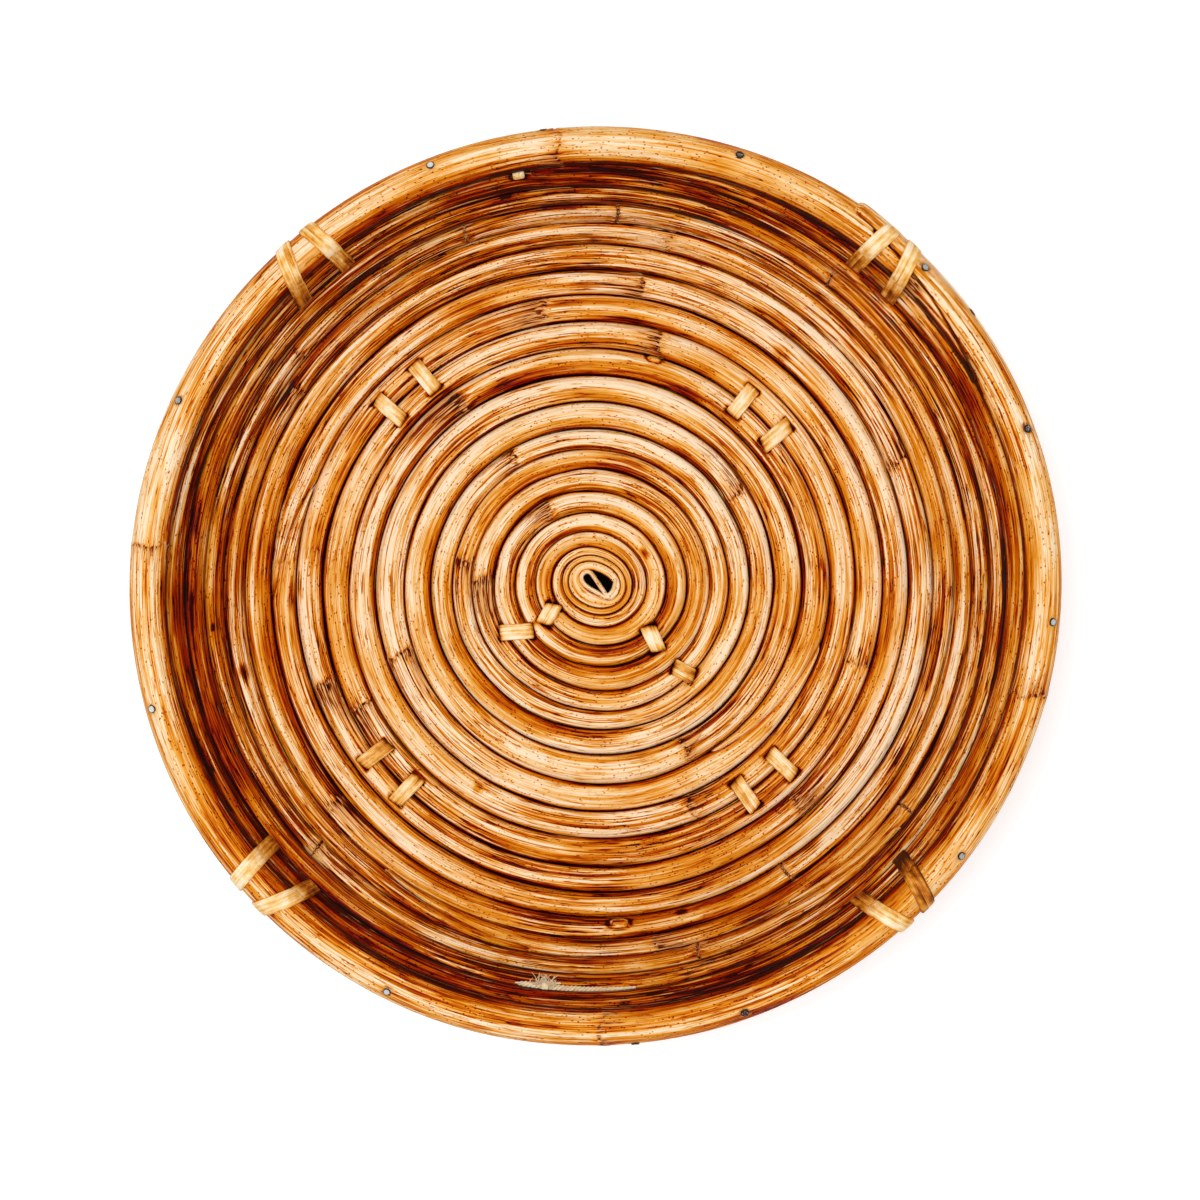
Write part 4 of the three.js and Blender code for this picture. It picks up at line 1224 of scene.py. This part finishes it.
def floor_straps():
    """Name, place, direction, half length and crest of every strap in the floor."""
    straps = []
    half_span = BASE_STRAP_SPAN / 2
    for pair, pair_turn in enumerate(BASE_STRAP_TURNS):
        half_turn = BASE_STRAP_SPACING / 2 / (TAU * float(coil_edge(pair_turn)))
        for index, side in enumerate((-1, 1)):
            turn = pair_turn + side * half_turn
            edge = float(coil_edge(turn))
            middle = wall_point(turn, edge, 0, 0)
            outward = np.array([math.cos(TAU * turn), math.sin(TAU * turn), 0])
            rise = wall_point(turn, edge + half_span, 0, 0)[2]
            crest = max(crest_height(turn), crest_height(turn + 1)) + rise
            straps.append((f"base_tie_{2 * pair + index + 1}", middle, outward, half_span, crest))
    for index, (start, end) in enumerate(CENTRE_STRAPS):
        start, end = np.array([*start, 0.0]), np.array([*end, 0.0])
        span = np.linalg.norm(end - start)
        crest = max(crest_height(round_under(*point[:2])) for point in (start, end))
        straps.append((f"centre_tie_{index + 1}", (start + end) / 2, (end - start) / span, span / 2, crest))
    return straps


def floor_slits():
    """The slits that the floor straps go down into: middle, direction of the strap, and across it."""
    slits = []
    for _, middle, direction, reach, crest in FLOOR_STRAPS:
        for end in (-1, 1):
            slit = middle + end * (reach - STRAP_THICKNESS / 2) * direction
            slit[2] = crest - PIT_DEPTH
            slits.append((slit, direction, np.cross(UP, direction)))
    return slits


FLOOR_STRAPS = floor_straps()
SLITS = floor_slits()
SLIT_TURNS = [round_under(*slit[:2]) for slit, _, _ in SLITS]


def add_floor_straps():
    bottom = STRAP_CLEARANCE + STRAP_THICKNESS / 2
    for index, (node, middle, direction, reach, crest) in enumerate(FLOOR_STRAPS):
        top = crest + FLOOR_STRAP_LIFT + STRAP_THICKNESS / 2
        reach = reach - STRAP_THICKNESS / 2
        loop = rounded_loop(reach, bottom, top, FLOOR_STRAP_CORNER, FLOOR_STRAP_CROWN)
        path = np.array([middle[0], middle[1], 0]) + loop[:, :1] * direction + loop[:, 1:] * UP
        sideways = np.broadcast_to(np.cross(direction, UP), path.shape)
        outward = -np.cross(sideways, unit(loop_steps(path)))
        # Painted shade on the legs and lower run of the strap, where it goes down into the slits
        dark = smooth(crest + 0.6 - loop[:, 1], -0.5, 0.9)
        slant = direction * value_noise(np.array([index * 1.7]), 34) * FLOOR_STRAP_SLANT
        seed = FLOOR_STRAP_SEED + index
        add_strap(node, path, sideways, outward, dark, seed, FLOOR_STRAP_FULLNESS, slant)


def tight_outline(upper, lower, distance, steps):
    """Outline drawn tight round two circles on one line, the second one below the first."""
    lean = math.asin((upper - lower) / distance)
    over = np.linspace(-lean - math.pi / 2, lean + math.pi / 2, steps)
    under = np.linspace(lean + math.pi / 2, 1.5 * math.pi - lean, steps)
    first = as_vectors(upper * np.cos(over), upper * np.sin(over))
    second = as_vectors(lower * np.cos(under) - distance, lower * np.sin(under))
    gap = np.linspace(0, 1, 8)[1:-1, None]
    down = first[-1] * (1 - gap) + second[0] * gap
    back = second[-1] * (1 - gap) + first[0] * gap
    return np.concatenate([first, down, second, back])


def add_rim_straps():
    """Straps round the rim and the top rounds, each straight when seen from above."""
    upper = RIM_DIAMETER / 2 + RIM_STRAP_LIFT + STRAP_THICKNESS / 2
    lower = WALL_HEIGHT + CROWN + RIM_STRAP_WALL_LIFT + STRAP_THICKNESS / 2
    for index, (angle, slant) in enumerate(RIM_STRAPS):
        turn = angle / 360
        top = math.floor(TOP_TIP - turn) + turn
        below = float(coil_edge(top - 1)) + STRAP_THICKNESS / 2
        distance = RIM_ALONG - below - lower + STRAP_THICKNESS
        loop = tight_outline(upper, lower, distance, 26)
        up, out, around = rim_axes(turn)
        inward = -loop[:, :1] * math.cos(SLOPE) - loop[:, 1:] * math.sin(SLOPE)
        path = rim_point(turn, 0.0, 0.0) + loop[:, :1] * up + loop[:, 1:] * out
        path = path + inward * math.tan(math.radians(slant)) * around
        step = loop_steps(loop)
        ahead = unit(loop_steps(path))
        sideways = unit(np.cross(step[:, 1:] * up - step[:, :1] * out, ahead))
        # A little darker all over, with painted shade growing towards the top round, where the strap goes
        # down round it
        dark = 0.12 + 0.88 * smooth(-loop[:, 0], -3.0, distance)
        seed = RIM_STRAP_SEED + index
        outward = np.cross(ahead, sideways)
        add_strap(f"rim_tie_{index + 1}", path, sideways, outward, dark, seed, RIM_STRAP_FULLNESS)


def add_nails():
    radius, level = np.array(NAIL_PROFILE).T[..., None]
    middle = smooth(radius, 1.32, 0.85)
    around = circle(NAIL_SIDES)[:, None]
    for index, (place, shine) in enumerate(zip(NAIL_PLACES, NAIL_SHINE)):
        base, axis = nail_seat(*place)
        side = unit(np.cross(axis, (0.3, 0.2, 1.0)))
        spokes = np.cos(around) * side + np.sin(around) * np.cross(axis, side)
        rings = base + level[..., None] * axis + radius[..., None] * spokes
        tone = NAIL_EDGE_TONE * (1 - middle) + (1 + shine) * middle
        values = {"fibre": rings, "tone": np.broadcast_to(tone, rings.shape[:2])}
        nail = tube_object(f"nail_{index + 1}_steel", [(rings, values)], NAIL)
        stand_in(nail, f"rim_nail_{index + 1}")


def add_peg():
    """A split peg, its edges worn round and its end showing the grain."""
    up, out, around = rim_axes(PEG_ANGLE / 360)
    across, rise = section_shape(circle(PEG_SIDES), 5.0)
    along, width, breadth = PEG_STEPS * PEG_SIZE[1], across * PEG_SIZE[0] / 2, rise * PEG_SIZE[2] / 2
    rings = (
        peg_middle()
        + along[..., None] * out
        + (PEG_FULLNESS * width)[..., None] * up
        + (PEG_FULLNESS * breadth)[..., None] * around
    )
    values = {"fibre": as_vectors(along, width, breadth), "tone": np.full(rings.shape[:2], PEG_TONE)}
    stand_in(tube_object("end_peg_split", [(rings, values)], STRAP), "end_peg")


def add_floor():
    """A white floor that keeps the bowl's shadow and shows white to the camera beyond it, with a near-black
    disc of painted shade under the bowl.
    """
    mesh = bpy.data.meshes.new("floor")
    corners = [(-1, -1), (1, -1), (1, 1), (-1, 1)]
    mesh.from_pydata([(FLOOR_SIZE * x, FLOOR_SIZE * y, 0) for x, y in corners], [], [(0, 1, 2, 3)])
    shader = new_shader("white_floor")
    spot = shader.node("ShaderNodeNewGeometry", {})["Position"]
    distance = shader.node("ShaderNodeVectorMath", {0: spot}, operation="LENGTH")["Value"]
    beyond = shader.step(distance, *FLOOR_SHADE_RADII)
    glow = shader.step(distance, *FLOOR_WHITE_RADII, FLOOR_NEAR_GLOW, 1.0)
    shown = shader.math("MULTIPLY", shader.seen(), beyond)
    mesh.materials.append(shader.finish(
        # Painted shade: the floor under the bowl is near-black, as seen through the core's slot
        Base_Color=shader.mix(beyond, FLOOR_SHADE_COLOUR, FLOOR_PALE),
        Roughness=0.9,
        Specular_IOR_Level=0.0,
        Emission_Color=WHITE,
        Emission_Strength=shader.math("MULTIPLY", shown, glow),
    ))
    link(bpy.data.objects.new("floor", mesh))


def add_light():
    shader = Shader(bpy.data.worlds.new("studio"), "Background")
    level = shader.node("ShaderNodeMapRange", {"Value": shader.seen(), "To Min": WORLD_LEVEL})[0]
    bpy.context.scene.world = shader.finish(Color=WHITE, Strength=level)
    for name, lamp_place, size, power in LAMPS:
        data = bpy.data.lights.new(name, "AREA")
        data.shape = "DISK"
        data.size = size
        data.energy = power
        lamp = link(bpy.data.objects.new(name, data))
        lamp.location = lamp_place
        aim = Vector(LAMP_TARGET) - lamp.location
        lamp.rotation_euler = aim.to_track_quat("-Z", "Y").to_euler()
    bpy.context.scene.view_settings.view_transform = "Standard"


set_camera()
add_string()
add_canes()
add_rim()
add_floor_straps()
add_rim_straps()
add_nails()
add_peg()
add_floor()
add_light()
